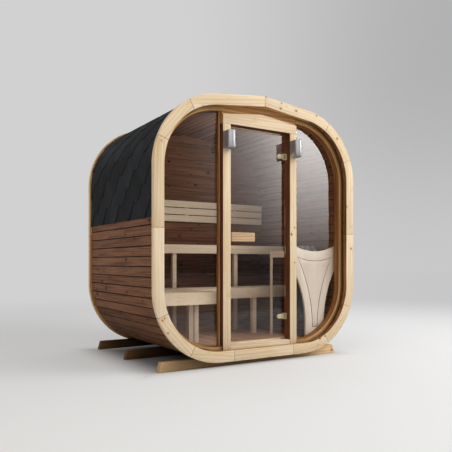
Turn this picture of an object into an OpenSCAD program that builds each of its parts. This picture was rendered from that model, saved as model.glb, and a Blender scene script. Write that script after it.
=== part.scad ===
// Outdoor sauna cabin with a rounded square section, stave shell and glazed front.
// Millimetres. +Z is up, the glazed front faces -Y, +X is to the right of the door.
// The origin is on the ground, under the middle of the cabin.

/* [Cabin] */
// Outer width across the end rings
cabin_w = 2070; // [1900:10:2300]
// Length from the front face to the rear face
cabin_l = 1535; // [1400:5:2000]
// Height of the ridge of the end rings above the ground
apex_h = 2268; // [2150:1:2450]
// Height of the underside of the end rings above the ground
base_h = 42; // [30:1:60]
// Slope of the two roof planes in degrees
roof_pitch = 6.6; // [4:0.1:10]
// Half of the width between the two upper corners
upper_flat = 415; // [400:1:470]
// Half of the width between the two lower corners
lower_flat = 435; // [400:1:470]

/* [End rings] */
// Width of a ring board, measured inwards from the outline
ring_w = 90; // [80:1:110]
// Thickness of a ring board
ring_t = 40; // [30:1:50]
// Open joint between two ring boards
ring_joint = 0.6; // [0.4:0.1:0.9]
// Angle of the upper ring joint near the roof, from the side
upper_joint_a = 59.5; // [50:0.5:70]
// Angle of the upper ring joint near the side
side_joint_a = 21; // [15:0.5:30]
// Height of the ring joint on the straight side
side_joint_h = 1118; // [900:1:1300]
// Angle of the lower ring joint near the bottom, from the side
lower_joint_a = 61.5; // [50:0.5:70]
// Distance of a bottom ring joint from the middle
bottom_joint_x = 310; // [200:1:400]

/* [Shell] */
// How far the rings stand proud of the staves
shell_inset = 20; // [15:1:30]
// Thickness of the staves
stave_t = 40; // [30:1:45]
// Thickness of the roof covering
cover_t = 9; // [5:1:12]
// Height of the lower edge of the roof covering
cover_edge_h = 1202; // [900:1:1400]
// Thickness of the rear wall
rear_wall_t = 40; // [30:1:50]
// Distance of the rear wall from the rear ring
rear_wall_back = 20; // [0:1:60]

/* [Bearers] */
// Height of a bearer
bearer_h = 80; // [70:1:120]
// Thickness of a bearer
bearer_t = 50; // [40:1:80]
// Distance of the bearers' left ends from the side of the cabin
bearer_left_in = 70; // [40:1:200]
// Distance of the bearers' right ends from the side of the cabin
bearer_right_in = 185; // [40:1:220]
// How much a bearer end slants back towards its top
bearer_slant = 22; // [0:1:40]
// Distance of the outer bearers from the ends of the cabin
bearer_end = 65; // [50:1:200]

/* [Front] */
// Clear width between the door posts
door_clear_w = 625; // [560:1:700]
// Width of a door post
post_w = 75; // [60:1:90]
// Depth of a door post
post_t = 90; // [84:1:120]
// Setback of the posts behind the back face of the front ring
post_setback = 15; // [5:1:25]
// Distance of the underside of the door header below the ridge
header_drop = 268; // [230:1:340]
// Inset of the header's top edge from the outline
header_inset = 145; // [130:1:160]
// Height of the top of the threshold board
threshold_h = 167; // [150:1:190]
// Inset of the glazing frame's inner edge from the outline
frame_inset = 117; // [105:1:125]
// Setback of the glazing frame behind the faces of the posts
frame_setback = 22; // [10:1:30]
// Setback of the window glass behind the faces of the posts
glass_setback = 68; // [60:1:72]
// Thickness of the window glass and the door glass
glass_t = 8; // [6:1:10]
// How far the window glass reaches behind its frame and into the posts
glass_lap = 12; // [8:1:15]
// Depth of the beads that hold the window glass
bead_t = 14; // [8:1:14]
// Width of the beads along the door posts
bead_w = 11; // [8:1:16]

/* [Door] */
// Setback of the door glass behind the faces of the posts
door_setback = 62; // [55:1:62]
// Gap round the door glass
door_gap = 6; // [5:1:10]
// Thickness of the door stop on posts, header and threshold
stop_t = 15; // [10:1:15]
// How far the door stop reaches into the opening
stop_reach = 12; // [10:1:16]
// Distance between the hinge pin and the ends of the stops
stop_short = 25; // [25:1:40]
// Distance of the hinge pin from the right post
pin_x = 25; // [23:1:30]
// Radius of the hinge pin
pin_r = 4; // [3:0.5:5]
// Radial clearance between the hinge pin and its knuckle
pin_play = 0.1; // [0.05:0.01:0.1]
// Distance of the middle of the upper hinge below the header
hinge_drop = 202; // [150:1:400]
// Height of the middle of the lower hinge
hinge_low_z = 372; // [300:1:500]
// Height of a hinge clamp
clamp_h = 40; // [30:1:60]
// Length of a hinge clamp from the pin to its round end
clamp_l = 72; // [60:1:90]
// Thickness of each clamp plate
clamp_t = 7; // [5:1:8]
// Radius of the hinge knuckle
knuckle_r = 9; // [8:0.5:10]
// Thickness of a hinge bracket on the post
bracket_t = 4; // [3:0.5:6]
// Length of the handle
handle_l = 239; // [150:1:300]
// Height of the handle
handle_h = 75; // [40:1:90]
// Thickness of the handle
handle_t = 28; // [20:1:35]
// Height of the middle of the handle
handle_z = 1068; // [950:1:1200]
// Distance of the handle's end from the free edge of the door
handle_edge = 13; // [12:1:60]
// Length of the studs between the handle and the glass
stud_l = 14; // [8:1:30]
// Radius of the handle studs
stud_r = 9; // [7:0.5:12]
// Radius of the bolt that passes through the glass
bolt_r = 5; // [4:0.5:6]
// Distance of the handle studs from the ends of the handle
stud_end = 35; // [25:1:60]
// Angle that the door opens
door_open_a = 90; // [60:1:95]

/* [Lamps] */
// Width of a wall lamp
lamp_w = 74; // [60:1:75]
// Depth of a wall lamp
lamp_d = 101; // [70:1:120]
// Height of a wall lamp
lamp_h = 142; // [100:1:180]
// Wall thickness of a lamp housing
lamp_wall = 3; // [2:0.5:5]
// Depth of the opening at each end of a lamp
lamp_mouth = 40; // [20:1:50]
// Distance of the middle of the lamps below the header
lamp_drop = 141; // [100:1:300]

/* [Floor] */
// Thickness of the floor battens
batten_t = 30; // [28:1:45]
// Width of the floor battens
batten_w = 60; // [40:1:90]
// Width of a floor board
floor_board_w = 110; // [80:1:110]
// Thickness of a floor board
floor_board_t = 22; // [18:1:28]
// Gap between two floor boards
floor_gap = 5; // [4:1:5]
// Number of floor boards
floor_count = 10; // [6:1:10]

/* [Upper bench] */
// Height of the top of the upper bench
upper_h = 1026; // [950:1:1100]
// Depth of the upper bench from the rear wall
upper_d = 455; // [400:1:520]
// Height of the upper bench apron
upper_apron_h = 85; // [60:1:120]
// Distance of the upper bench legs from the middle
upper_leg_x = 355; // [200:1:600]

/* [Lower bench] */
// Height of the top of the lower bench
lower_h = 606; // [480:1:640]
// Depth of the lower bench in front of the upper bench
lower_d = 340; // [250:1:380]
// Height of the lower bench apron
lower_apron_h = 100; // [60:1:120]
// Inner edge of the left wing, from the middle
wing_x = 380; // [300:1:420]
// Distance of the lower bench leg on the right from the middle
lower_leg_x = 355; // [200:1:380]
// Gap between the left wing and the front glass
wing_gap = 12; // [5:1:60]

/* [Bench timber] */
// Thickness of the seat boards and aprons
seat_t = 25; // [20:1:35]
// Gap between two seat boards
seat_gap = 12; // [8:1:20]
// Side of a square bench leg
leg_w = 42; // [35:1:60]
// Gap between the benches and the side walls
bench_side_gap = 12; // [8:1:20]
// Thickness of the wall cleats that carry the bench ends
cleat_t = 25; // [20:1:30]

/* [Backrest] */
// Height of the top of the backrest
back_h = 1503; // [1350:1:1600]
// Height of one backrest slat
back_slat_h = 68; // [50:1:90]
// Gap between two backrest slats
back_gap = 8; // [5:1:20]
// Thickness of a backrest slat
back_slat_t = 20; // [15:1:25]
// Thickness of the battens behind the backrest
back_batten_t = 26; // [15:1:40]
// Distance of the outer backrest battens from the middle
back_batten_x = 600; // [400:1:800]

/* [Heater guard] */
// Distance of the middle of the guard panel from the side of the cabin
guard_in = 345; // [340:1:365]
// Half of the width of the guard panel at the top
guard_half = 275; // [240:1:280]
// Half of the width of the guard panel at its foot
guard_foot = 112; // [80:1:130]
// Height of the lowest point of the guard panel's top edge
guard_dip_h = 956; // [850:1:1000]
// Rise of the guard panel's top corners above that point
guard_rise = 62; // [30:1:90]
// Height where the side of the guard panel starts to curve in
guard_shoulder_h = 830; // [750:1:850]
// Height where the side of the guard panel ends its curve
guard_waist_h = 300; // [290:1:380]
// Thickness of the guard panel
guard_t = 20; // [12:1:28]
// Gap between the front glass and the guard panel
guard_gap = 14; // [5:1:30]
// Width of the groove in the guard panel
groove_w = 5; // [3:0.5:8]
// Depth of the groove in the guard panel
groove_d = 4; // [2:0.5:6]
// Distance of the groove from the top edge of the guard panel
groove_inset = 88; // [60:1:120]
// Half of the width inside the groove at the top
groove_half = 210; // [150:1:225]
// Half of the width inside the groove at its foot
groove_foot = 32; // [25:1:70]
// Height of the lowest point of the groove
groove_low_h = 248; // [200:1:280]
// Length of the guard rail beside the heater
rail_l = 330; // [320:1:360]
// Height of a guard rail
rail_h = 58; // [40:1:80]
// Height of the top of the guard rails
rail_top_h = 958; // [900:1:980]

/* [Heater] */
// Width of the heater
heater_w = 290; // [240:1:300]
// Depth of the heater
heater_d = 250; // [200:1:260]
// Height of the underside of the heater
heater_low_h = 345; // [335:1:400]
// Height of the rim of the heater
heater_rim_h = 905; // [850:1:930]
// Corner radius of the heater
heater_r = 45; // [20:1:60]
// Wall thickness of the stone basket
heater_wall = 5; // [3:0.5:8]
// Depth of the stone basket
basket_d = 120; // [80:1:160]
// Height of the stones above the rim
stone_rise = 70; // [40:1:90]
// Gap between the guard panel and the heater
heater_gap = 30; // [20:1:60]
// Width of the bracket between the heater and the side wall
bracket_w = 130; // [60:1:180]
// Height of the bracket between the heater and the side wall
bracket_h = 120; // [60:1:200]

/* [Hidden] */
arc_step = 2.5;
ring_front = -cabin_l / 2;
ring_back = ring_front + ring_t;
shell_end = cabin_l / 2 - ring_t;
header_h = apex_h - header_drop;
hinge_top_z = header_h - hinge_drop;
lamp_z = header_h - lamp_drop;
post_face = ring_back + post_setback;
post_back = post_face + post_t;
post_in = door_clear_w / 2;
post_out = post_in + post_w;
frame_face = post_face + frame_setback;
glass_face = post_face + glass_setback;
bead_face = glass_face + glass_t;
door_face = post_face + door_setback;
stop_face = post_back - stop_t;
shell_in = shell_inset + stave_t;
rear_face = shell_end - rear_wall_back - rear_wall_t;
upper_r = cabin_w / 2 - upper_flat;
lower_r = cabin_w / 2 - lower_flat;
upper_cx = upper_flat;
upper_cz = apex_h - tan(roof_pitch) * upper_cx - upper_r / cos(roof_pitch);
lower_cx = lower_flat;
lower_cz = base_h + lower_r;
floor_z = base_h + shell_in;
deck_z = floor_z + batten_t + floor_board_t;
wall_in = cabin_w / 2 - shell_in;
bench_side = wall_in - bench_side_gap;
upper_front = rear_face - upper_d;
lower_front = upper_front - lower_d;
wing_front = bead_face + bead_t + wing_gap;
pivot_x = post_in - pin_x;
pivot_y = door_face + glass_t / 2;
door_left = -post_in + door_gap;
door_right = post_in - door_gap;
door_low = threshold_h + door_gap;
door_top = header_h - door_gap;
hinge_zs = [hinge_low_z, hinge_top_z];
lug_t = 6;
lug_gap = 1;
notch_gap = 7;
fit = 0.3;
handle_x = door_left + handle_edge;
stud_xs = [handle_x + stud_end, handle_x + handle_l - stud_end];
lower_side = lower_cx - bench_side_gap
    + sqrt(pow(lower_r - shell_in, 2) - pow(max(0, lower_cz - lower_h + lower_apron_h), 2));
back_side = upper_cx - bench_side_gap
    + sqrt(pow(upper_r - shell_in, 2) - pow(max(0, back_h - upper_cz), 2));
wing_legs = [[-550, -440], [-450, -350]];
bearer_left = cabin_w / 2 - bearer_left_in;
bearer_right = cabin_w / 2 - bearer_right_in;
guard_x = cabin_w / 2 - guard_in;
guard_face = bead_face + bead_t + guard_gap;
guard_back = guard_face + guard_t;
guard_left = guard_x - guard_half;
heater_y = guard_back + heater_gap;

// Point list of an arc, seen from the front
function arc(cx, cz, r, a0, a1) =
    let (n = ceil(abs(a1 - a0) / arc_step))
    [for (k = [0:n]) let (a = a0 + (a1 - a0) * k / n) [cx + r * cos(a), cz + r * sin(a)]];

// Point list in the opposite order
function flip(p) = [for (k = [len(p) - 1:-1:0]) p[k]];

// Height of the roof line at x for an outline moved inwards by i
function roof_z(x, i) = apex_h - i / cos(roof_pitch) - tan(roof_pitch) * abs(x);

function upper_arc(i) = arc(upper_cx, upper_cz, upper_r - i, 90 - roof_pitch, 0);
function lower_arc(i) = arc(lower_cx, lower_cz, lower_r - i, 0, -90);

// Right half of the outline from the ridge down to x at the bottom
function side_line(i, x) =
    concat([[x, roof_z(x, i)]], upper_arc(i), lower_arc(i), [[x, base_h + i]]);

// Puts a flat drawing, seen from the front, between y and y + t
module slab(y, t) {
    translate([0, y + t, 0])
        rotate([90, 0, 0])
            linear_extrude(t)
                children();
}

module block(x0, x1, y0, y1, z0, z1) {
    translate([x0, y0, z0])
        cube([x1 - x0, y1 - y0, z1 - z0]);
}

module mirrored(left) {
    if (left)
        mirror([1, 0, 0])
            children();
    else
        children();
}

module outline(i) {
    right = side_line(i, 0);
    left = [for (k = [len(right) - 2:-1:1]) [-right[k][0], right[k][1]]];
    polygon(concat(right, left));
}

// A thin cut across the ring at a point of the right half
module ring_cut(x, z, a) {
    for (left = [true, false])
        mirrored(left)
            translate([x, z])
                rotate(a)
                    square([3 * ring_w, ring_joint], center = true);
}

module ring_cuts() {
    m = ring_w / 2;
    for (a = [upper_joint_a, side_joint_a])
        ring_cut(upper_cx + (upper_r - m) * cos(a), upper_cz + (upper_r - m) * sin(a), a);
    for (a = [-side_joint_a, -lower_joint_a])
        ring_cut(lower_cx + (lower_r - m) * cos(a), lower_cz + (lower_r - m) * sin(a), a);
    ring_cut(cabin_w / 2 - m, side_joint_h, 0);
    ring_cut(bottom_joint_x, base_h + m, 90);
    translate([0, apex_h - m])
        square([ring_joint, 3 * ring_w], center = true);
}

module ring(y) {
    color("burlywood")
        slab(y, ring_t)
            difference() {
                outline(0);
                outline(ring_w);
                ring_cuts();
            }
}

module front_ring() {
    ring(ring_front);
}

module rear_ring() {
    ring(shell_end);
}

// Staves, from ring to ring
module staves() {
    color("sienna")
        slab(ring_back, shell_end - ring_back)
            children();
}

module base_staves() {
    staves()
        translate([-lower_cx, base_h + shell_inset])
            square([2 * lower_cx, stave_t]);
}

module side_wall(left) {
    staves()
        mirrored(left)
            translate([wall_in, lower_cz])
                square([stave_t, upper_cz - lower_cz]);
}

module wall_left() {
    side_wall(true);
}

module wall_right() {
    side_wall(false);
}

module lower_corner(left) {
    staves()
        mirrored(left)
            polygon(concat(lower_arc(shell_inset), flip(lower_arc(shell_in))));
}

module lower_corner_left() {
    lower_corner(true);
}

module lower_corner_right() {
    lower_corner(false);
}

module upper_corner(left) {
    staves()
        mirrored(left)
            polygon(concat(upper_arc(shell_inset), flip(upper_arc(shell_in))));
}

module upper_corner_left() {
    upper_corner(true);
}

module upper_corner_right() {
    upper_corner(false);
}

module roof(left) {
    staves()
        mirrored(left)
            polygon([
                [0, roof_z(0, shell_in)],
                [0, roof_z(0, shell_inset)],
                upper_arc(shell_inset)[0],
                upper_arc(shell_in)[0]
            ]);
}

module roof_left() {
    roof(true);
}

module roof_right() {
    roof(false);
}

// Roof covering over the roof, the upper corner and the top of one wall
module cover(left) {
    top = shell_inset - cover_t;
    color("dimgray")
        slab(ring_back, shell_end - ring_back)
            mirrored(left)
                polygon(concat(
                    [[0, roof_z(0, shell_inset)], [0, roof_z(0, top)]],
                    upper_arc(top),
                    [[cabin_w / 2 - top, cover_edge_h]],
                    [[cabin_w / 2 - shell_inset, cover_edge_h]],
                    flip(upper_arc(shell_inset))
                ));
}

module cover_left() {
    cover(true);
}

module cover_right() {
    cover(false);
}

module rear_wall() {
    color("saddlebrown")
        slab(rear_face, rear_wall_t)
            outline(shell_in);
}

// Bearer with slanted ends and a saddle for the underside of the shell
module bearer(y) {
    color("peru")
        slab(y, bearer_t)
            difference() {
                polygon([
                    [-bearer_left, 0],
                    [bearer_right, 0],
                    [bearer_right - bearer_slant, bearer_h],
                    [-bearer_left + bearer_slant, bearer_h]
                ]);
                outline(shell_inset);
            }
}

module bearer_front() {
    bearer(ring_front + bearer_end);
}

module bearer_middle() {
    bearer(-bearer_t / 2);
}

module bearer_rear() {
    bearer(cabin_l / 2 - bearer_end - bearer_t);
}

// Door post, its outer corner rebated for the glass
module post(left) {
    color("wheat")
        mirrored(left)
            translate([0, 0, floor_z])
                linear_extrude(header_h - floor_z)
                    polygon([
                        [post_in, post_face],
                        [post_out, post_face],
                        [post_out, glass_face],
                        [post_out - glass_lap, glass_face],
                        [post_out - glass_lap, post_back],
                        [post_in, post_back]
                    ]);
}

// Left post with the door stop on its inner side
module post_left() {
    color("wheat")
        union() {
            post(true);
            block(
                -post_in, -post_in + stop_reach,
                stop_face, post_back,
                threshold_h, header_h
            );
        }
}

module post_right() {
    post(false);
}

// Door stop under the header or on the threshold, clear of the hinge side
module stop_strip(z) {
    block(
        -post_in + stop_reach, pivot_x - stop_short,
        stop_face, post_back,
        z, z + stop_reach
    );
}

module header() {
    color("wheat")
        difference() {
            union() {
                slab(post_face, post_t)
                    polygon([
                        [-post_out, header_h],
                        [post_out, header_h],
                        [post_out, roof_z(post_out, header_inset)],
                        [0, roof_z(0, header_inset)],
                        [-post_out, roof_z(post_out, header_inset)]
                    ]);
                stop_strip(header_h - stop_reach);
            }
            glass_rebates();
        }
}

// Room for the edges of the window glass beside the header
module glass_rebates() {
    reach = post_out - glass_lap;
    for (x = [-post_out - 1, reach])
        block(x, x + glass_lap + 1, glass_face, post_back + 1, header_h - 1, apex_h);
}

// Board that closes the space between the header and the roof
module head_board() {
    color("burlywood")
        difference() {
            slab(frame_face, post_back - frame_face)
                polygon([
                    [post_out, roof_z(post_out, header_inset)],
                    [post_out, roof_z(post_out, shell_in)],
                    [0, roof_z(0, shell_in)],
                    [-post_out, roof_z(post_out, shell_in)],
                    [-post_out, roof_z(post_out, header_inset)],
                    [0, roof_z(0, header_inset)]
                ]);
            glass_rebates();
        }
}

module threshold() {
    color("wheat")
        union() {
            block(-post_in, post_in, post_face, post_back, floor_z, threshold_h);
            stop_strip(threshold_h);
        }
}

// Band that follows the shell from the top of a post to its foot
module post_to_post(outer, inner) {
    polygon(concat(side_line(outer, post_out), flip(side_line(inner, post_out))));
}

// Glazing frame round a window, with a bead along the door post
module frame(left) {
    color("burlywood")
        mirrored(left)
            union() {
                slab(frame_face, glass_face - frame_face)
                    post_to_post(shell_in, frame_inset);
                slab(glass_face - bead_t, bead_t)
                    post_bead(post_out);
            }
}

// Upright bead from sill to soffit, seen from the front
module post_bead(x) {
    low = base_h + frame_inset;
    translate([x, low])
        square([bead_w, roof_z(x + bead_w, frame_inset) - low]);
}

module frame_left() {
    frame(true);
}

module frame_right() {
    frame(false);
}

// Bead that holds a window from the inside
module bead(left) {
    color("burlywood")
        slab(bead_face, bead_t)
            mirrored(left)
                union() {
                    post_to_post(shell_in, frame_inset);
                    post_bead(post_out);
                }
}

module bead_left() {
    bead(true);
}

module bead_right() {
    bead(false);
}

module window_glass(left) {
    color("lightsteelblue", 0.4)
        slab(glass_face, glass_t)
            mirrored(left)
                polygon(side_line(frame_inset - glass_lap, post_out - glass_lap));
}

module glass_left() {
    window_glass(true);
}

module glass_right() {
    window_glass(false);
}

// Door glass with a notch for each hinge knuckle and holes for the handle bolts
module door_glass() {
    notch = 2 * knuckle_r;
    reach = clamp_h / 2 + lug_gap + lug_t + notch_gap;
    color("lightsteelblue", 0.4)
        slab(door_face, glass_t)
            difference() {
                translate([door_left, door_low])
                    square([door_right - door_left, door_top - door_low]);
                for (z = hinge_zs)
                    translate([pivot_x - notch, z - reach])
                        square([notch + pin_x, 2 * reach]);
                for (x = stud_xs)
                    translate([x, handle_z])
                        circle(r = bolt_r + fit, $fn = 48);
            }
}

// Clamp plate with a round end, seen from the front, ending short of the pin
module clamp_plate() {
    r = clamp_h / 2;
    short = pin_r + 2;
    union() {
        translate([-clamp_l + r, 0])
            circle(r = r, $fn = 48);
        translate([-clamp_l + r, -r])
            square([clamp_l - r - short, clamp_h]);
    }
}

module hinge_clamp(z) {
    difference() {
        union() {
            translate([pivot_x, 0, z])
                slab(door_face - clamp_t, clamp_t)
                    clamp_plate();
            translate([pivot_x, 0, z])
                slab(door_face + glass_t, clamp_t / 2)
                    clamp_plate();
            translate([pivot_x, pivot_y, z - clamp_h / 2])
                cylinder(r = knuckle_r, h = clamp_h, $fn = 48);
        }
        translate([pivot_x, pivot_y, z - clamp_h])
            cylinder(r = pin_r + pin_play, h = 2 * clamp_h, $fn = 48);
    }
}

module hinge_clamps() {
    color("palegoldenrod")
        for (z = hinge_zs)
            hinge_clamp(z);
}

// Bracket on the side of the right post, with two lugs and the hinge pin
module hinge_bracket(z) {
    reach = clamp_h / 2 + lug_gap + lug_t;
    union() {
        block(
            post_in - bracket_t, post_in,
            pivot_y - 2 * knuckle_r, pivot_y + knuckle_r,
            z - reach, z + reach
        );
        for (low = [z - reach, z + reach - lug_t])
            block(
                pivot_x - knuckle_r, post_in,
                pivot_y - knuckle_r, pivot_y + knuckle_r,
                low, low + lug_t
            );
        translate([pivot_x, pivot_y, z - reach])
            cylinder(r = pin_r, h = 2 * reach, $fn = 48);
    }
}

module hinge_brackets() {
    color("darkkhaki")
        for (z = hinge_zs)
            hinge_bracket(z);
}

// Handle on both faces of the door glass, on studs bolted through the pane
module door_handle() {
    y_out = door_face - stud_l - handle_t;
    y_in = door_face + glass_t + stud_l;
    color("burlywood")
        union() {
            for (y = [y_out, y_in])
                slab(y, handle_t)
                    handle_face();
            for (y = [y_out + handle_t, y_in - stud_l])
                slab(y, stud_l)
                    handle_studs(stud_r);
            slab(door_face, glass_t)
                handle_studs(bolt_r);
        }
}

module handle_studs(r) {
    for (x = stud_xs)
        translate([x, handle_z])
            circle(r = r, $fn = 48);
}

// Face of the handle: a bar with round corners
module handle_face() {
    r = 10;
    low = handle_z - handle_h / 2;
    union() {
        translate([handle_x + r, low])
            square([handle_l - 2 * r, handle_h]);
        translate([handle_x, low + r])
            square([handle_l, handle_h - 2 * r]);
        for (x = [handle_x + r, handle_x + handle_l - r])
            for (z = [low + r, low + handle_h - r])
                translate([x, z])
                    circle(r = r, $fn = 32);
    }
}

// Half-round lamp housing, open at the top and the bottom
module lamp(left) {
    x = post_in + post_w / 2;
    color("silver")
        mirrored(left)
            translate([x, post_face, lamp_z - lamp_h / 2])
                difference() {
                    lamp_section(lamp_w / 2, lamp_h);
                    for (z = [-1, lamp_h - lamp_mouth])
                        translate([0, 0, z])
                            lamp_section(lamp_w / 2 - lamp_wall, lamp_mouth + 1);
                }
}

module lamp_section(r, h) {
    straight = lamp_d - lamp_w / 2;
    linear_extrude(h)
        union() {
            translate([0, -straight])
                circle(r = r, $fn = 64);
            translate([-r, -straight])
                square([2 * r, straight - (lamp_w / 2 - r)]);
        }
}

module lamp_left() {
    lamp(true);
}

module lamp_right() {
    lamp(false);
}

module floor_battens() {
    end = batten_w / 3;
    color("tan")
        for (y = [post_back + end, -batten_w / 2, rear_face - batten_w - end])
            block(-lower_cx, lower_cx, y, y + batten_w, floor_z, floor_z + batten_t);
}

module floor_boards() {
    pitch = floor_board_w + floor_gap;
    z = floor_z + batten_t;
    color("tan")
        for (k = [0:floor_count - 1])
            let (x = (k - (floor_count - 1) / 2) * pitch - floor_board_w / 2)
            block(
                x, x + floor_board_w,
                post_back + floor_gap, rear_face,
                z, z + floor_board_t
            );
}

// Seat boards that run across the cabin between two depths
module seat_boards(x0, x1, y0, y1, top, count) {
    w = (y1 - y0 - (count - 1) * seat_gap) / count;
    for (k = [0:count - 1])
        let (y = y0 + k * (w + seat_gap))
        block(x0, x1, y, y + w, top - seat_t, top);
}

module upper_bench() {
    color("bisque")
        seat_boards(
            -bench_side, bench_side, upper_front + seat_t + seat_gap, rear_face - seat_gap,
            upper_h, 4
        );
}

// Apron, cross rails, legs and wall cleats of the upper bench
module upper_bench_frame() {
    rail_top = upper_h - seat_t;
    rail_low = upper_h - upper_apron_h;
    color("bisque")
        union() {
            block(
                -bench_side, bench_side,
                upper_front, upper_front + seat_t,
                rail_low, upper_h
            );
            for (x = [-upper_leg_x, upper_leg_x]) {
                block(
                    x - leg_w / 2, x + leg_w / 2,
                    upper_front + seat_t, upper_front + seat_t + leg_w,
                    deck_z, rail_top
                );
                block(
                    x - leg_w / 2, x + leg_w / 2,
                    upper_front + seat_t + leg_w, rear_face,
                    rail_low, rail_top
                );
            }
            for (left = [true, false])
                mirrored(left)
                    block(
                        bench_side - cleat_t, wall_in,
                        upper_front + seat_t, rear_face,
                        rail_low, rail_top
                    );
        }
}

module lower_bench() {
    color("bisque")
        union() {
            seat_boards(
                -wing_x + seat_gap, lower_side, lower_front + seat_t + seat_gap,
                upper_front - seat_gap, lower_h, 3
            );
            wing_boards();
        }
}

// Seat boards of the left wing, from the front glass to the upper bench
module wing_boards() {
    count = 4;
    x1 = -wing_x - seat_t;
    w = (x1 + lower_side - count * seat_gap) / count;
    for (k = [0:count - 1])
        let (x = -lower_side + k * (w + seat_gap))
        block(
            x, x + w,
            wing_front + seat_t + seat_gap, upper_front - seat_gap,
            lower_h - seat_t, lower_h
        );
}

// Aprons, end rails and legs of the lower bench with its left wing
module lower_bench_frame() {
    top = lower_h - seat_t;
    low = lower_h - lower_apron_h;
    y0 = lower_front + seat_t;
    y1 = upper_front - seat_gap;
    side = -wing_x - seat_t;
    color("bisque")
        union() {
            block(-wing_x, lower_side, lower_front, y0, low, lower_h);
            block(side, -wing_x, wing_front, y0, low, lower_h);
            block(-lower_side, side, wing_front, wing_front + seat_t, low, lower_h);
            block(-lower_side, lower_side, y1 - seat_t, y1, low, top);
            block(lower_side - seat_t, lower_side, y0, y1 - seat_t, low, top);
            block(-lower_side, -lower_side + seat_t, wing_front + seat_t, y1, low, top);
            block(side, -wing_x, y0, y1 - seat_t, low, top);
            for (leg = wing_legs) {
                bench_leg(leg[0], leg[1], low);
                block(
                    -lower_side, side,
                    leg[1] - seat_t / 2, leg[1] + seat_t / 2,
                    low, top
                );
            }
            bench_leg(lower_leg_x, y0 + leg_w / 2, top);
            bench_leg(-lower_leg_x, y0 + leg_w / 2, top);
        }
}

module bench_leg(x, y, top) {
    block(x - leg_w / 2, x + leg_w / 2, y - leg_w / 2, y + leg_w / 2, deck_z, top);
}

// Three slats on battens against the rear wall
module backrest() {
    pitch = back_slat_h + back_gap;
    y = rear_face - back_batten_t;
    color("bisque")
        union() {
            for (k = [0:2])
                block(
                    -back_side, back_side,
                    y - back_slat_t, y,
                    back_h - k * pitch - back_slat_h, back_h - k * pitch
                );
            for (x = [-back_batten_x, 0, back_batten_x])
                block(
                    x - leg_w / 2, x + leg_w / 2,
                    y, rear_face,
                    back_h - 2 * pitch - back_slat_h, back_h
                );
        }
}

// Half outline of the vase-shaped guard panel, from the dip to the foot
function guard_curve() =
    [for (k = [0:12]) let (t = k / 12)
        [
            guard_foot + (guard_half - guard_foot) * pow(1 - t, 2),
            guard_shoulder_h + (guard_waist_h - guard_shoulder_h) * t
        ]];

function guard_top() =
    [for (k = [0:8]) let (t = k / 8) [guard_half * t, guard_dip_h + guard_rise * t * t]];

function guard_side() = concat(guard_top(), guard_curve(), [[guard_foot, floor_z]]);

// Outline of the field inside the groove, made smaller by i all round
function groove_side(i) =
    let (half = groove_half - i)
    let (foot = groove_foot - i)
    let (rise = guard_rise * pow(groove_half / guard_half, 2))
    let (dip = guard_dip_h - groove_inset - i)
    let (low = groove_low_h + i)
    concat(
        [for (k = [0:6]) let (t = k / 6) [half * t, dip + rise * t * t]],
        [for (k = [1:10]) let (t = k / 10)
            [foot + (half - foot) * pow(1 - t, 2), dip + rise - (dip + rise - low) * t]]
    );

module field(side) {
    other = [for (k = [len(side) - 1:-1:1]) [-side[k][0], side[k][1]]];
    translate([guard_x, 0])
        polygon(concat(side, other));
}

module guard_panel() {
    color("antiquewhite")
        difference() {
            slab(guard_face, guard_t)
                intersection() {
                    field(guard_side());
                    outline(shell_in);
                }
            slab(guard_face - 1, groove_d + 1)
                difference() {
                    field(groove_side(0));
                    field(groove_side(groove_w));
                }
        }
}

module guard_rails() {
    x = guard_left + guard_t / 2;
    low = rail_top_h - rail_h;
    y1 = guard_back + rail_l;
    color("burlywood")
        union() {
            block(x, x + guard_t, guard_back, y1, low, rail_top_h);
            block(x + guard_t, wall_in, y1 - guard_t, y1, low, rail_top_h);
            block(x, x + guard_t, y1 - guard_t, y1, deck_z, low);
        }
}

// Heater in plan, made smaller by i all round
module heater_plan(i) {
    r = heater_r - i;
    w = heater_w - 2 * heater_r;
    d = heater_d - 2 * heater_r;
    translate([guard_x, heater_y + heater_d / 2])
        union() {
            square([w, d + 2 * r], center = true);
            square([w + 2 * r, d], center = true);
            for (x = [-w / 2, w / 2])
                for (y = [-d / 2, d / 2])
                    translate([x, y])
                        circle(r = r, $fn = 48);
        }
}

// Heater body with a stone basket and a bracket to the side wall
module heater() {
    y = heater_y + heater_d / 2;
    color("dimgray")
        union() {
            difference() {
                translate([0, 0, heater_low_h])
                    linear_extrude(heater_rim_h - heater_low_h)
                        heater_plan(0);
                translate([0, 0, heater_rim_h - basket_d])
                    linear_extrude(basket_d + 1)
                        heater_plan(heater_wall);
            }
            block(
                guard_x + heater_w / 2 - heater_wall, wall_in,
                y - bracket_w / 2, y + bracket_w / 2,
                lower_cz, lower_cz + bracket_h
            );
        }
}

// Heap of stones in steps that draw in towards the top
module heater_stones() {
    steps = 4;
    step = stone_rise / steps;
    color("gray")
        translate([0, 0, heater_rim_h - basket_d])
            union() {
                linear_extrude(basket_d)
                    heater_plan(heater_wall);
                for (k = [1:steps])
                    linear_extrude(basket_d + k * step)
                        heater_plan(heater_wall + (heater_r - heater_wall) * (k - 1) / steps);
            }
}

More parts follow.
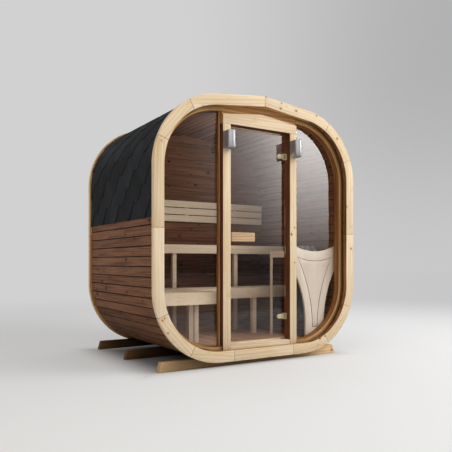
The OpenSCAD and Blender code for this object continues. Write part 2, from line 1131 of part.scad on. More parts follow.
front_ring();
rear_ring();
base_staves();
wall_left();
wall_right();
lower_corner_left();
lower_corner_right();
upper_corner_left();
upper_corner_right();
roof_left();
roof_right();
cover_left();
cover_right();
rear_wall();
bearer_front();
bearer_middle();
bearer_rear();
post_left();
post_right();
header();
head_board();
threshold();
frame_left();
frame_right();
bead_left();
bead_right();
glass_left();
glass_right();
door_glass();
hinge_clamps();
door_handle();
hinge_brackets();
lamp_left();
lamp_right();
floor_battens();
floor_boards();
upper_bench();
upper_bench_frame();
lower_bench();
lower_bench_frame();
backrest();
guard_panel();
guard_rails();
heater();
heater_stones();
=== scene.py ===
import logging
import math
import random
from dataclasses import dataclass
from enum import Enum, IntEnum
from functools import lru_cache
from typing import Callable, Iterable, Optional, Sequence

import bmesh
import bpy
import numpy as np
from mathutils import Matrix, Vector


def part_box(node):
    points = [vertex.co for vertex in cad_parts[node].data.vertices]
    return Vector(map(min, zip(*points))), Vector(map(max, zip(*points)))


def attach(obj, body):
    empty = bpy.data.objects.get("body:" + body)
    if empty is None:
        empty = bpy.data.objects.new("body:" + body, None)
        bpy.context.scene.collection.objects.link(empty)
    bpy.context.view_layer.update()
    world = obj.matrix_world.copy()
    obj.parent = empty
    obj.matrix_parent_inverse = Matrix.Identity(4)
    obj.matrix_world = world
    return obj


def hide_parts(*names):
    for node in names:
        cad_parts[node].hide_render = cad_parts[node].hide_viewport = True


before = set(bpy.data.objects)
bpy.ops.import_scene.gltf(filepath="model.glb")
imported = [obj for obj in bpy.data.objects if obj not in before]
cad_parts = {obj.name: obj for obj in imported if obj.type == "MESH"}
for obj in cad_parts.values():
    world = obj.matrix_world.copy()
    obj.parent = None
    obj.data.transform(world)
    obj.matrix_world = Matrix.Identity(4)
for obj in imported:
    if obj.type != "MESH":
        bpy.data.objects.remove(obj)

LOG = logging.getLogger("sauna")
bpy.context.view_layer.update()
Triple = tuple[float, float, float]
Colour = Triple
Point = tuple[float, float]
Socket = bpy.types.NodeSocket

# Scales of the timber's figure along and across the board
WAVER_SCALE = (1.3, 7.0, 7.0)
STREAK_SCALE = (3.0, 150.0, 150.0)
CLOUD_SCALE = (1.6, 9.0, 9.0)
THREAD_SCALE = (1.1, 64.0, 64.0)
KNOT_CELLS = (7.0, 10.0, 6.0)

# Where a face's normal counts as looking one way, inwards, or along the ring, in picking faces for
# painted shade
FACING = 0.5
INWARDS = 0.2
ALONG_RING = 0.55
# Distance to the right of the middle from which the ring's inner side lies in deeper painted shade
SHADED_FROM = 0.5
# Depths between which a face lies in the groove of the heater's screen, which gets painted shade
GROOVE = (0.0014, 0.0046)
# Faces that meet at less than this are one face, and edges above the other are sharp
FLAT_ANGLE = math.radians(0.4)
SHARP_ANGLE = math.radians(30)
# Points that lie closer together than this become one
MERGE = 2e-6
# Change of a part's area that rounding its edges may bring
AREA_CHANGE = (-0.12, 0.005)
# Share of a bevel's depth past which a point counts as lying in the seam, which gets painted shade
SEAM_SHARE = 0.7


def srgb(red: int, green: int, blue: int) -> Colour:
    """Gives the linear colour of a screen colour.

    Args:
        red: red, 0 to 255.
        green: green, 0 to 255.
        blue: blue, 0 to 255.

    Returns:
        The linear colour.
    """
    parts = (value / 255 for value in (red, green, blue))
    return tuple(p / 12.92 if p <= 0.04045 else ((p + 0.055) / 1.055) ** 2.4 for p in parts)


def toned(colour: Colour, share: float) -> Colour:
    """Returns a share of a colour."""
    return tuple(part * share for part in colour)


class Graph:
    """Adds and joins the nodes of one shader or geometry tree."""

    def __init__(self, tree: bpy.types.NodeTree) -> None:
        """Takes the tree that the nodes go into."""
        self.tree = tree

    def add(self, kind: str, settings: Optional[dict] = None, **inputs: object) -> bpy.types.Node:
        """Adds a node.

        Args:
            kind: the node's type.
            settings: its properties.
            **inputs: its inputs by name, with _ for a space, or i0, i1 by place.

        Returns:
            The new node.
        """
        node = self.tree.nodes.new(kind)
        for name, value in (settings or {}).items():
            setattr(node, name, value)
        for name, value in inputs.items():
            place = int(name[1:]) if name[0] == "i" and name[1:].isdigit() else name.replace("_", " ")
            self.put(node.inputs[place], value)
        return node

    def put(self, socket: Socket, value: object) -> None:
        """Links value to socket where it is a socket, and writes it there otherwise.

        Args:
            socket: the input.
            value: a socket, a colour, a vector or a number.
        """
        if isinstance(value, bpy.types.NodeSocket):
            self.tree.links.new(value, socket)
        elif isinstance(value, tuple) and len(value) == 3 and socket.type == "RGBA":
            socket.default_value = (*value, 1.0)
        else:
            socket.default_value = value

    def calc(self, operation: str, a: object, b: object = 0.0) -> Socket:
        """Adds a Math node and returns its result."""
        return self.add("ShaderNodeMath", {"operation": operation}, i0=a, i1=b).outputs[0]

    def vector(self, operation: str, a: object, b: object = (0.0, 0.0, 0.0)) -> Socket:
        """Adds a Vector Math node and returns its result."""
        node = self.add("ShaderNodeVectorMath", {"operation": operation}, i0=a, i1=b)
        return node.outputs["Value" if operation in ("LENGTH", "DOT_PRODUCT") else "Vector"]

    def scaled(self, vector: object, x: float, y: float, z: float) -> Socket:
        """Returns vector with its parts multiplied by x, y and z."""
        return self.vector("MULTIPLY", vector, (x, y, z))

    def parts(self, vector: object) -> bpy.types.NodeOutputs:
        """Returns the three parts of vector."""
        return self.add("ShaderNodeSeparateXYZ", Vector=vector).outputs

    def place(self) -> Socket:
        """Returns the object coordinates."""
        return self.add("ShaderNodeTexCoord").outputs["Object"]

    def attribute(self, name: str, output: str = "Fac") -> Socket:
        """Returns an attribute of the mesh."""
        return self.add("ShaderNodeAttribute", {"attribute_name": name}).outputs[output]

    def light_path(self) -> bpy.types.NodeOutputs:
        """Returns what the rays are told by."""
        return self.add("ShaderNodeLightPath").outputs

    def noise(self, vector: object, scale: float, detail: float = 2.0) -> Socket:
        """Returns the value of a noise texture."""
        return self.add("ShaderNodeTexNoise", Vector=vector, Scale=scale, Detail=detail).outputs["Fac"]

    def span(self, value: object, low: float, high: float, a: float, b: float) -> Socket:
        """Maps value smoothly from low..high to a..b and returns the result."""
        smooth = {"interpolation_type": "SMOOTHSTEP"}
        return self.add("ShaderNodeMapRange", smooth, i0=value, i1=low, i2=high, i3=a, i4=b).outputs[0]

    def ramp(self, value: object, low: float, high: float, a: float, b: float) -> Socket:
        """Maps value evenly from low..high to a..b and returns the result."""
        return self.add("ShaderNodeMapRange", i0=value, i1=low, i2=high, i3=a, i4=b).outputs[0]

    def blend(self, amount: object, a: object, b: object) -> Socket:
        """Returns colour a going over to colour b with amount."""
        return self.add("ShaderNodeMixRGB", Fac=amount, Color1=a, Color2=b).outputs[0]

    def mix(self, amount: object, a: object, b: object) -> Socket:
        """Returns shader a going over to shader b with amount."""
        return self.add("ShaderNodeMixShader", i0=amount, i1=a, i2=b).outputs[0]

    def glow(self, colour: object, strength: object) -> Socket:
        """Returns a shader that gives light."""
        return self.add("ShaderNodeEmission", Color=colour, Strength=strength).outputs[0]


def material(name: str) -> tuple[bpy.types.Material, Graph, bpy.types.Node, bpy.types.Node]:
    """Makes an empty material.

    Args:
        name: the material's name.

    Returns:
        The material, its graph, its main shader and its output node.
    """
    made = bpy.data.materials.new(name)
    made.use_nodes = True
    made.node_tree.nodes.clear()
    graph = Graph(made.node_tree)
    shader = graph.add("ShaderNodeBsdfPrincipled")
    output = graph.add("ShaderNodeOutputMaterial", Surface=shader.outputs[0])
    return made, graph, shader, output


@dataclass(frozen=True)
class Wood:
    """A planed or sawn timber whose figure runs along each board."""

    name: str
    slot: str
    pale: Colour
    deep: Colour
    knot: Colour
    knots: float = 0.12
    knot_size: float = 0.1
    knot_scale: float = 1.0
    ring_scale: float = 26.0
    figure: float = 1.0
    waver: float = 0.05
    spread: float = 0.5
    roughness: float = 0.55
    relief: float = 0.12
    # Strength of a painted shadow of the cabin on the middle of a bearer
    middle_shade: float = 0.0

    def make(self) -> bpy.types.Material:
        """Builds the material from the grain, board and shade attributes.

        Returns:
            The material.
        """
        made, graph, shader, _ = material(self.name)
        grain = graph.attribute("grain", "Vector")
        core, halo = self.knot_masks(graph, grain)
        bands = self.growth_bands(graph, grain, halo)
        streaks = graph.noise(graph.scaled(grain, *STREAK_SCALE), 1.0, 3.0)
        tone = self.tone(graph, grain, bands, streaks, halo)
        colour = graph.blend(graph.span(tone, -0.25, 1.35, 0.0, 1.0), self.pale, self.deep)
        colour = self.shaded(graph, graph.blend(core, colour, self.knot))
        shine = graph.span(tone, 0.0, 1.0, self.roughness - 0.06, self.roughness + 0.08)
        height = graph.calc("MULTIPLY", streaks, 0.7)
        height = graph.calc("ADD", height, graph.calc("MULTIPLY", bands, 0.5))
        height = graph.calc("SUBTRACT", height, graph.calc("MULTIPLY", core, 0.6))
        bump = graph.add("ShaderNodeBump", Strength=self.relief, Distance=0.002, Height=height)
        graph.put(shader.inputs["Base Color"], colour)
        graph.put(shader.inputs["Roughness"], shine)
        graph.put(shader.inputs["Normal"], bump.outputs[0])
        shader.inputs["Specular IOR Level"].default_value = 0.22
        return made

    def knot_masks(self, graph: Graph, grain: Socket) -> tuple[Socket, Socket]:
        """Marks the knots, of which only a share of the cells holds one.

        Args:
            graph: the material's graph.
            grain: the grain coordinates.

        Returns:
            The knots themselves and the wider figure around them.
        """
        cells = graph.add(
            "ShaderNodeTexVoronoi", Vector=graph.scaled(grain, *KNOT_CELLS), Scale=self.knot_scale
        )
        lot = graph.add("ShaderNodeSeparateColor", Color=cells.outputs["Color"]).outputs[0]
        there = graph.calc("LESS_THAN", lot, self.knots)
        size = graph.calc("MULTIPLY_ADD", lot, self.knot_size / max(self.knots, 0.01))
        size.node.inputs[2].default_value = self.knot_size * 0.6
        near = graph.calc("DIVIDE", cells.outputs["Distance"], size)
        core = graph.calc("MULTIPLY", graph.span(near, 0.75, 1.15, 1.0, 0.0), there)
        halo = graph.calc("MULTIPLY", graph.span(near, 0.8, 3.6, 1.0, 0.0), there)
        return core, halo

    def growth_bands(self, graph: Graph, grain: Socket, halo: Socket) -> Socket:
        """Draws the growth lines, which waver and bend around the knots.

        Args:
            graph: the material's graph.
            grain: the grain coordinates.
            halo: the figure around the knots.

        Returns:
            The bands, 0 to 1.
        """
        waver = graph.noise(graph.scaled(grain, *WAVER_SCALE), 1.0, 2.0)
        parts = graph.parts(grain)
        across = graph.calc("ADD", parts[1], graph.calc("MULTIPLY", parts[2], 0.6))
        across = graph.calc("ADD", across, graph.calc("MULTIPLY", waver, self.waver))
        across = graph.calc("ADD", across, graph.calc("MULTIPLY", halo, 0.02))
        bands = graph.calc("SINE", graph.calc("MULTIPLY", across, self.ring_scale * 20.0))
        return graph.span(bands, -1.0, 1.0, 0.0, 1.0)

    def tone(self, graph: Graph, grain: Socket, bands: Socket, streaks: Socket, halo: Socket) -> Socket:
        """Adds up what makes a place lighter or darker.

        Args:
            graph: the material's graph.
            grain: the grain coordinates.
            bands: the growth lines.
            streaks: the fine streaks.
            halo: the figure around the knots.

        Returns:
            The tone, about 0 for pale and 1 for deep.
        """
        cloud = graph.noise(graph.scaled(grain, *CLOUD_SCALE), 1.0, 3.0)
        threads = graph.noise(graph.scaled(grain, *THREAD_SCALE), 1.0, 2.0)
        board = graph.attribute("board")
        tone = graph.calc("MULTIPLY", graph.calc("SUBTRACT", bands, 0.5), 0.5 * self.figure)
        for part in (
            graph.span(streaks, 0.3, 0.7, -0.3 * self.figure, 0.3 * self.figure),
            graph.span(threads, 0.5, 0.72, 0.0, 0.6 * self.figure),
            graph.span(cloud, 0.25, 0.75, -0.22, 0.22),
            graph.span(board, 0.0, 1.0, -self.spread, self.spread),
            graph.calc("MULTIPLY", halo, 0.22),
            0.5,
        ):
            tone = graph.calc("ADD", tone, part)
        return tone

    def shaded(self, graph: Graph, colour: Socket) -> Socket:
        """Paints shade into the seams and, for a bearer, paints the cabin's shadow on the stretch below
        it.

        Args:
            graph: the material's graph.
            colour: the colour in the open.

        Returns:
            The colour with its shade.
        """
        # Painted shade in seams, grooves and where frames meet the ring, from the shade attribute
        seam_shade = graph.calc("MULTIPLY", graph.attribute("shade"), 0.85)
        colour = graph.blend(seam_shade, colour, toned(self.knot, 0.2))
        if not self.middle_shade:
            return colour
        # Painted shadow of the cabin on a bearer, darkest in the middle and fading towards both ends
        along = graph.parts(graph.place())[0]
        left = graph.span(along, -1.2, -0.74, 0.0, self.middle_shade)
        right = graph.span(along, 0.1, 0.8, self.middle_shade, 0.0)
        shade = graph.calc("MINIMUM", left, right)
        return graph.blend(shade, colour, toned(self.deep, 0.12))


@dataclass(frozen=True)
class Granules:
    """Mineral granules on felt shingles, or rough stone."""

    name: str
    slot: str
    pale: Colour
    deep: Colour
    grain_scale: float
    patch_scale: float
    relief: float
    roughness: float = 0.85

    def make(self) -> bpy.types.Material:
        """Builds the material on object coordinates.

        Returns:
            The material.
        """
        made, graph, shader, _ = material(self.name)
        place = graph.place()
        board = graph.attribute("board")
        fine = graph.add("ShaderNodeTexVoronoi", Vector=place, Scale=self.grain_scale).outputs["Color"]
        fine = graph.add("ShaderNodeSeparateColor", Color=fine).outputs[0]
        patch = graph.noise(place, self.patch_scale, 4.0)
        tone = graph.calc("MULTIPLY", fine, 0.3)
        tone = graph.calc("ADD", tone, graph.span(patch, 0.3, 0.7, 0.0, 0.3))
        tone = graph.calc("ADD", tone, graph.calc("MULTIPLY", board, 0.5))
        bump = graph.add(
            "ShaderNodeBump", Strength=self.relief, Distance=0.002,
            Height=graph.calc("ADD", fine, graph.calc("MULTIPLY", patch, 2.0)),
        )
        graph.put(shader.inputs["Base Color"], graph.blend(tone, self.deep, self.pale))
        rough = graph.span(fine, 0.0, 1.0, self.roughness - 0.1, self.roughness)
        graph.put(shader.inputs["Roughness"], rough)
        graph.put(shader.inputs["Normal"], bump.outputs[0])
        shader.inputs["Specular IOR Level"].default_value = 0.2
        return made


@dataclass(frozen=True)
class Metal:
    """A brushed or painted metal."""

    name: str
    slot: str
    colour: Colour
    metallic: float
    roughness: float
    brushed: Triple = (40.0, 40.0, 900.0)
    relief: float = 0.05

    def make(self) -> bpy.types.Material:
        """Builds the material with fine brush lines on object coordinates.

        Returns:
            The material.
        """
        made, graph, shader, _ = material(self.name)
        place = graph.place()
        lines = graph.noise(graph.scaled(place, *self.brushed), 1.0, 3.0)
        smear = graph.noise(place, 14.0, 3.0)
        dull = toned(self.colour, 0.86)
        graph.put(shader.inputs["Base Color"], graph.blend(smear, dull, self.colour))
        rough = graph.calc("ADD", graph.span(lines, 0.3, 0.7, -0.06, 0.06), self.roughness)
        rough = graph.calc("ADD", rough, graph.span(smear, 0.3, 0.7, -0.04, 0.04))
        graph.put(shader.inputs["Roughness"], rough)
        bump = graph.add("ShaderNodeBump", Strength=self.relief, Distance=0.001, Height=lines)
        graph.put(shader.inputs["Normal"], bump.outputs[0])
        shader.inputs["Metallic"].default_value = self.metallic
        return made


@dataclass(frozen=True)
class Glazing:
    """Toned clear glass that lets the lamps' light through."""

    name: str
    slot: str
    tone: Colour
    ior: float

    def make(self) -> bpy.types.Material:
        """Builds the glass with a faint unevenness in its tone.

        Returns:
            The material.
        """
        made, graph, shader, output = material(self.name)
        cloud = graph.noise(graph.place(), 1.7, 2.0)
        deeper = toned(self.tone, 0.97)
        graph.put(shader.inputs["Base Color"], graph.blend(cloud, self.tone, deeper))
        shader.inputs["Roughness"].default_value = 0.0
        shader.inputs["Transmission Weight"].default_value = 1.0
        shader.inputs["IOR"].default_value = self.ior
        path = graph.light_path()
        through = graph.calc("MAXIMUM", path["Is Shadow Ray"], path["Is Diffuse Ray"])
        open_pane = graph.add("ShaderNodeBsdfTransparent", Color=self.tone)
        graph.put(output.inputs["Surface"], graph.mix(through, shader.outputs[0], open_pane.outputs[0]))
        return made


class Finish(Enum):
    """The finishes of the cabin."""

    PINE = Wood(
        "planed pine", "pine", srgb(240, 223, 196), srgb(213, 183, 140), srgb(142, 98, 58),
        knots=0.5, knot_size=0.1, knot_scale=1.7, ring_scale=11.0, figure=0.5, waver=0.025, spread=0.12,
    )
    # A copy of the pine for sides and inner faces turned from the light: painted shade.
    AMBER = Wood(
        "amber pine", "pine", srgb(216, 170, 112), srgb(158, 106, 58), srgb(84, 46, 20),
        knots=0.06, ring_scale=12.0, figure=1.0, spread=0.2,
    )
    # A warmer copy of the pine for the gable board, window frames and bead fronts, which lie in half
    # shade: painted shade.
    HONEY = Wood(
        "honey pine", "pine", srgb(230, 190, 132), srgb(182, 130, 72), srgb(110, 68, 34),
        knots=0.06, ring_scale=9.0, figure=1.0, spread=0.1,
    )
    # A darker copy of the pine for the ring's right inner side, the frames' sides and the beads:
    # painted deep shade.
    UMBER = Wood(
        "umber pine", "pine", srgb(164, 112, 68), srgb(104, 64, 34), srgb(60, 34, 16),
        knots=0.0, ring_scale=9.0, figure=1.0, spread=0.1,
    )
    # Deck boards in a darker, redder tone than the benches.
    DECK = Wood(
        "trodden boards", "bench", srgb(206, 166, 136), srgb(164, 122, 94), srgb(110, 74, 50),
        knots=0.04, ring_scale=9.0, figure=0.7, spread=0.2,
    )
    # The darkest copy of the pine, for the posts' sides, the header's underside and the sill's lower
    # edge: painted shade.
    REVEAL = Wood(
        "dark edge", "pine", srgb(128, 78, 48), srgb(76, 40, 22), srgb(50, 26, 14),
        knots=0.0, figure=0.8, spread=0.1,
    )
    # For the rings' joints, end grain together with the shade in them, and for the screen's groove:
    # painted shade.
    SEAM = Wood(
        "dark seam", "pine", srgb(60, 40, 27), srgb(30, 19, 12), srgb(20, 12, 8),
        knots=0.0, figure=0.8, spread=0.1,
    )
    STAVE = Wood(
        "heat treated pine", "stave", srgb(150, 104, 74), srgb(92, 58, 38), srgb(40, 23, 15),
        knots=0.45, knot_size=0.13, knot_scale=1.5, ring_scale=30.0, figure=1.0, waver=0.02,
        spread=0.16, roughness=0.62, relief=0.25,
    )
    # Its middle_shade paints the cabin's shadow on the middle of the bearer.
    BEARER = Wood(
        "impregnated pine", "bearer", srgb(248, 214, 164), srgb(212, 168, 114), srgb(120, 82, 48),
        knots=0.12, figure=1.0, spread=0.2, roughness=0.7, relief=0.3, middle_shade=0.75,
    )
    # A darker copy of the bearer's pine for the rear bearers, which lie in the cabin's shadow: painted
    # shade.
    DAMP = Wood(
        "damp impregnated pine", "bearer", srgb(176, 134, 88), srgb(122, 86, 52), srgb(70, 44, 22),
        knots=0.12, figure=1.0, spread=0.2, roughness=0.7, relief=0.3, middle_shade=0.9,
    )
    BENCH = Wood(
        "aspen", "bench", srgb(250, 238, 218), srgb(226, 200, 166), srgb(150, 112, 78),
        knots=0.015, figure=0.5, spread=0.18,
    )
    ALDER = Wood(
        "alder", "handle", srgb(214, 182, 146), srgb(180, 146, 108), srgb(130, 80, 46),
        knots=0.0, figure=0.9, spread=0.15, roughness=0.45,
    )
    GUARD = Wood(
        "pale panel", "guard", srgb(250, 240, 227), srgb(232, 217, 199), srgb(176, 150, 120),
        knots=0.0, figure=0.35, spread=0.1, roughness=0.5,
    )
    SHINGLE = Granules("felt shingle", "shingle", srgb(44, 46, 50), srgb(8, 9, 11), 420.0, 5.0, 0.5)
    STONE = Granules("split stone", "stone", srgb(168, 166, 164), srgb(70, 70, 72), 160.0, 18.0, 0.8)
    GLASS = Glazing("toned glass", "glass", (0.985, 0.975, 0.965), 1.6)
    BRASS = Metal("satin brass", "brass", srgb(246, 236, 196), 0.45, 0.4)
    ALUMINIUM = Metal("brushed aluminium", "aluminium", srgb(226, 226, 228), 0.85, 0.34)
    IRON = Metal("matt black metal", "heater", srgb(40, 40, 42), 0.2, 0.55)
    SCREW = Metal("dark screw", "brass", srgb(126, 100, 70), 0.3, 0.5)

    def made(self) -> bpy.types.Material:
        """Returns the finish's material, built on first use."""
        known = bpy.data.materials.get(self.value.name)
        return known or self.value.make()


class Body(Enum):
    """The bodies that a piece can ride on."""

    CABIN = "cabin"
    DOOR = "door"


class Run(IntEnum):
    """The runs of the outline's right half, from the ridge down to the base."""

    ROOF = 0
    UPPER_CORNER = 1
    WALL = 2
    LOWER_CORNER = 3
    BASE = 4


@dataclass(frozen=True)
class Outline:
    """The rounded square section of the cabin, seen from the front, in metres."""

    half_w: float = 1.035
    apex: float = 2.268
    base: float = 0.042
    pitch: float = math.radians(6.6)
    upper_flat: float = 0.415
    lower_flat: float = 0.435
    skin: float = 0.02

    @property
    def upper_z(self) -> float:
        """Height of the middles of the upper corners."""
        radius = self.half_w - self.upper_flat
        return self.apex - math.tan(self.pitch) * self.upper_flat - radius / math.cos(self.pitch)

    @property
    def lower_z(self) -> float:
        """Height of the middles of the lower corners."""
        return self.base + self.half_w - self.lower_flat

    def roof_z(self, x: float, inset: float) -> float:
        """Height of the roof line at x for an outline moved inwards by inset."""
        return self.apex - inset / math.cos(self.pitch) - math.tan(self.pitch) * abs(x)

    def runs(self) -> list[float]:
        """Measures the runs of the right half on the skin.

        Returns:
            The lengths of roof, upper corner, wall, lower corner and base.
        """
        upper = self.half_w - self.upper_flat - self.skin
        lower = self.half_w - self.lower_flat - self.skin
        ends = [self.on_run(Run.ROOF, share, self.skin) for share in (0.0, 1.0)]
        return [
            math.dist(*ends),
            upper * (math.pi / 2 - self.pitch),
            self.upper_z - self.lower_z,
            lower * math.pi / 2,
            self.lower_flat,
        ]

    def on_run(self, run: Run, share: float, inset: float) -> Point:
        """Finds a point of the right half on one run.

        Args:
            run: the run.
            share: how far along the run, 0 to 1.
            inset: how far the outline is moved inwards.

        Returns:
            The point's x and z.
        """
        upper = self.half_w - self.upper_flat - inset
        lower = self.half_w - self.lower_flat - inset
        if run is Run.ROOF:
            x = share * (self.upper_flat + upper * math.sin(self.pitch))
            return x, self.roof_z(x, inset)
        if run is Run.UPPER_CORNER:
            angle = (1 - share) * (math.pi / 2 - self.pitch)
            return self.upper_flat + upper * math.cos(angle), self.upper_z + upper * math.sin(angle)
        if run is Run.WALL:
            return self.half_w - inset, self.upper_z + share * (self.lower_z - self.upper_z)
        if run is Run.LOWER_CORNER:
            angle = -share * math.pi / 2
            return self.lower_flat + lower * math.cos(angle), self.lower_z + lower * math.sin(angle)
        return self.lower_flat * (1 - share), self.base + inset

    def at(self, length: float, inset: float) -> Point:
        """Finds a point of the right half at a length from the ridge.

        Args:
            length: length along the skin.
            inset: how far the outline is moved inwards.

        Returns:
            The point's x and z.
        """
        for run, size in zip(Run, self.runs()):
            if length <= size or run is Run.BASE:
                return self.on_run(run, min(length / size, 1.0), inset)
            length -= size
        raise ValueError("length is past the outline")

    def half_width(self, z: float, inset: float) -> float:
        """Measures half of the width inside the outline.

        Args:
            z: the height.
            inset: how far the outline is moved inwards.

        Returns:
            Half of the width.
        """
        upper = self.half_w - self.upper_flat - inset
        lower = self.half_w - self.lower_flat - inset
        if z > self.upper_z + upper * math.cos(self.pitch):
            return (self.apex - inset / math.cos(self.pitch) - z) / math.tan(self.pitch)
        if z > self.upper_z:
            return self.upper_flat + math.sqrt(max(0.0, upper**2 - (z - self.upper_z) ** 2))
        if z < self.lower_z:
            return self.lower_flat + math.sqrt(max(0.0, lower**2 - (self.lower_z - z) ** 2))
        return self.half_w - inset

    def inset(self, x: float, z: float) -> float:
        """Measures how far a point lies inside the outline.

        Args:
            x: the point's place across the cabin.
            z: its height.

        Returns:
            The distance to the outline, more than 0 inside.
        """
        x, tilt = abs(x), math.pi / 2 - self.pitch
        over, under = (x - self.upper_flat, z - self.upper_z), (x - self.lower_flat, self.lower_z - z)
        if over[1] > 0 and 0 < math.atan2(over[1], over[0]) < tilt:
            return self.half_w - self.upper_flat - math.hypot(*over)
        if min(under) > 0:
            return self.half_w - self.lower_flat - math.hypot(*under)
        roof = (self.apex - math.tan(self.pitch) * x - z) * math.cos(self.pitch)
        return min(roof, self.half_w - x, z - self.base)


OUTLINE = Outline()


@lru_cache
def outline_points(count: int) -> tuple[np.ndarray, np.ndarray]:
    """Divides the right half of the skin evenly.

    Args:
        count: how many points.

    Returns:
        Their lengths from the ridge, and their x and z.
    """
    lengths = np.linspace(0, sum(OUTLINE.runs()), count)
    return lengths, np.array([OUTLINE.at(length, OUTLINE.skin) for length in lengths])


def new_object(name: str, mesh: bpy.types.Mesh) -> bpy.types.Object:
    """Puts a mesh into the scene as an object at the origin.

    Args:
        name: the object's name.
        mesh: its mesh.

    Returns:
        The object.
    """
    made = bpy.data.objects.new(name, mesh)
    bpy.context.scene.collection.objects.link(made)
    return made


def mesh_from(name: str, points: Sequence, faces: Sequence) -> bpy.types.Mesh:
    """Makes a mesh from points and faces.

    Args:
        name: the mesh's name.
        points: the points.
        faces: the points' indices for each face.

    Returns:
        The mesh.
    """
    mesh = bpy.data.meshes.new(name)
    mesh.from_pydata([tuple(p) for p in points], [], faces)
    mesh.update()
    return mesh


def islands(work: bmesh.types.BMesh) -> list[list[bmesh.types.BMVert]]:
    """Lists the connected parts of a mesh.

    Args:
        work: the mesh.

    Returns:
        The vertices of each part.
    """
    seen: set[int] = set()
    parts = []
    work.verts.index_update()
    for vert in work.verts:
        if vert.index in seen:
            continue
        seen.add(vert.index)
        part, stack = [], [vert]
        while stack:
            one = stack.pop()
            part.append(one)
            for edge in one.link_edges:
                other = edge.other_vert(one)
                if other.index not in seen:
                    seen.add(other.index)
                    stack.append(other)
        parts.append(part)
    return parts


def along_outline(points: np.ndarray) -> np.ndarray:
    """Gives grain coordinates that follow the outline.

    Args:
        points: the points, a row each.

    Returns:
        The length, the inset and the depth of each point.
    """
    lengths, line = outline_points(240)
    flat = np.stack([np.abs(points[:, 0]), points[:, 2]], axis=1)
    gap = np.linalg.norm(flat[:, None] - line[None], axis=2)
    return np.stack([lengths[gap.argmin(axis=1)], gap.min(axis=1), points[:, 1]], axis=1)


def lay_shade(mesh: bpy.types.Mesh, in_seam: Callable[[Vector], float]) -> None:
    """Writes the shade attribute, which paints shade into seams and grooves and where frames meet the
    ring.

    Args:
        mesh: the mesh.
        in_seam: gives the shade of a point, 0 to 1.
    """
    values = [in_seam(vert.co) for vert in mesh.vertices]
    mesh.attributes.new("shade", "FLOAT", "POINT").data.foreach_set("value", values)


def lay_grain(
    mesh: bpy.types.Mesh, seed: int, follow: Optional[Callable[[np.ndarray], np.ndarray]] = None
) -> None:
    """Writes the grain and board attributes, one direction and one lot for each board.

    Args:
        mesh: the mesh, whose connected parts are boards.
        seed: seed of the boards' lots.
        follow: gives grain coordinates for bent boards, and the longest axis serves if it is None.
    """
    work = bmesh.new()
    work.from_mesh(mesh)
    lots = random.Random(seed)
    grain = np.zeros((len(mesh.vertices), 3), np.float32)
    board = np.zeros(len(mesh.vertices), np.float32)
    for part in islands(work):
        index = [v.index for v in part]
        place = np.array([v.co for v in part])
        if follow:
            local = follow(place)
        else:
            centred = place - (place.max(axis=0) + place.min(axis=0)) / 2
            _, _, axes = np.linalg.svd(centred, full_matrices=False)
            axes = np.array([a if a[np.abs(a).argmax()] > 0 else -a for a in axes])
            local = centred @ axes.T
            local = np.pad(local, ((0, 0), (0, 3 - local.shape[1])))
        shift = np.array([lots.uniform(0, 40) for _ in range(3)])
        grain[index] = local + shift
        board[index] = lots.random()
    work.free()
    mesh.attributes.new("grain", "FLOAT_VECTOR", "POINT").data.foreach_set("vector", grain.ravel())
    mesh.attributes.new("board", "FLOAT", "POINT").data.foreach_set("value", board)


def tidy(work: bmesh.types.BMesh, smooth_below: float = 20.0) -> None:
    """Merges doubles, turns faces outwards and marks sharp edges.

    Args:
        work: the mesh.
        smooth_below: edges whose faces meet at a smaller angle, in degrees, are shaded smooth.
    """
    bmesh.ops.remove_doubles(work, verts=work.verts, dist=MERGE)
    bmesh.ops.recalc_face_normals(work, faces=work.faces)
    for face in work.faces:
        face.smooth = True
    for edge in work.edges:
        edge.smooth = len(edge.link_faces) == 2 and edge.calc_face_angle(9) < math.radians(smooth_below)


def place_piece(
    mesh: bpy.types.Mesh, name: str, finish: Finish, body: Body = Body.CABIN, nodes: Iterable[str] = ()
) -> bpy.types.Object:
    """Dresses a finished mesh and lets it ride on its body.

    Args:
        mesh: the mesh, in its place.
        name: name of the piece.
        finish: its finish.
        body: the body that it rides on.
        nodes: the nodes that it stands for.

    Returns:
        The piece.
    """
    piece = new_object(name, mesh)
    if not mesh.materials:
        mesh.materials.append(finish.made())
    if nodes:
        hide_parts(*nodes)
    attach(piece, body.value)
    LOG.info("%s: %d faces", name, len(mesh.polygons))
    return piece


def faces_sideways(middle: Vector, normal: Vector) -> bool:
    """Tells whether a face looks neither to the front nor to the back."""
    return abs(normal.y) < FACING


def faces_front(middle: Vector, normal: Vector) -> bool:
    """Tells whether a face looks to the front."""
    return normal.y < -FACING


def faces_down(middle: Vector, normal: Vector) -> bool:
    """Tells whether a face looks downwards."""
    return normal.z < -FACING


def faces_inwards(middle: Vector, normal: Vector) -> bool:
    """Tells whether a face looks towards the middle of the cabin's section."""
    inwards = normal.x * middle.x + normal.z * (middle.z - OUTLINE.apex / 2)
    return abs(normal.y) < FACING and inwards < -INWARDS


def faces_shaded(middle: Vector, normal: Vector) -> bool:
    """Tells whether a face looks inwards on the right side of the section."""
    return middle.x > SHADED_FROM and faces_inwards(middle, normal)


def faces_joint(middle: Vector, normal: Vector) -> bool:
    """Tells whether a face lies in a joint across the ring.

    Args:
        middle: the face's middle.
        normal: its normal.

    Returns:
        Whether the face looks along the ring.
    """
    _, line = outline_points(400)
    nearest = int(np.linalg.norm(line - (abs(middle.x), middle.z), axis=1).argmin())
    step = line[min(nearest + 1, len(line) - 1)] - line[max(nearest - 1, 0)]
    step = step / np.linalg.norm(step)
    along = normal.x * math.copysign(1, middle.x) * step[0] + normal.z * step[1]
    return abs(along) > ALONG_RING


def in_groove(middle: Vector, normal: Vector) -> bool:
    """Tells whether a face lies in the groove of the heater's screen."""
    depth = middle.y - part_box("guard_panel")[0].y
    return GROOVE[0] < depth < GROOVE[1]


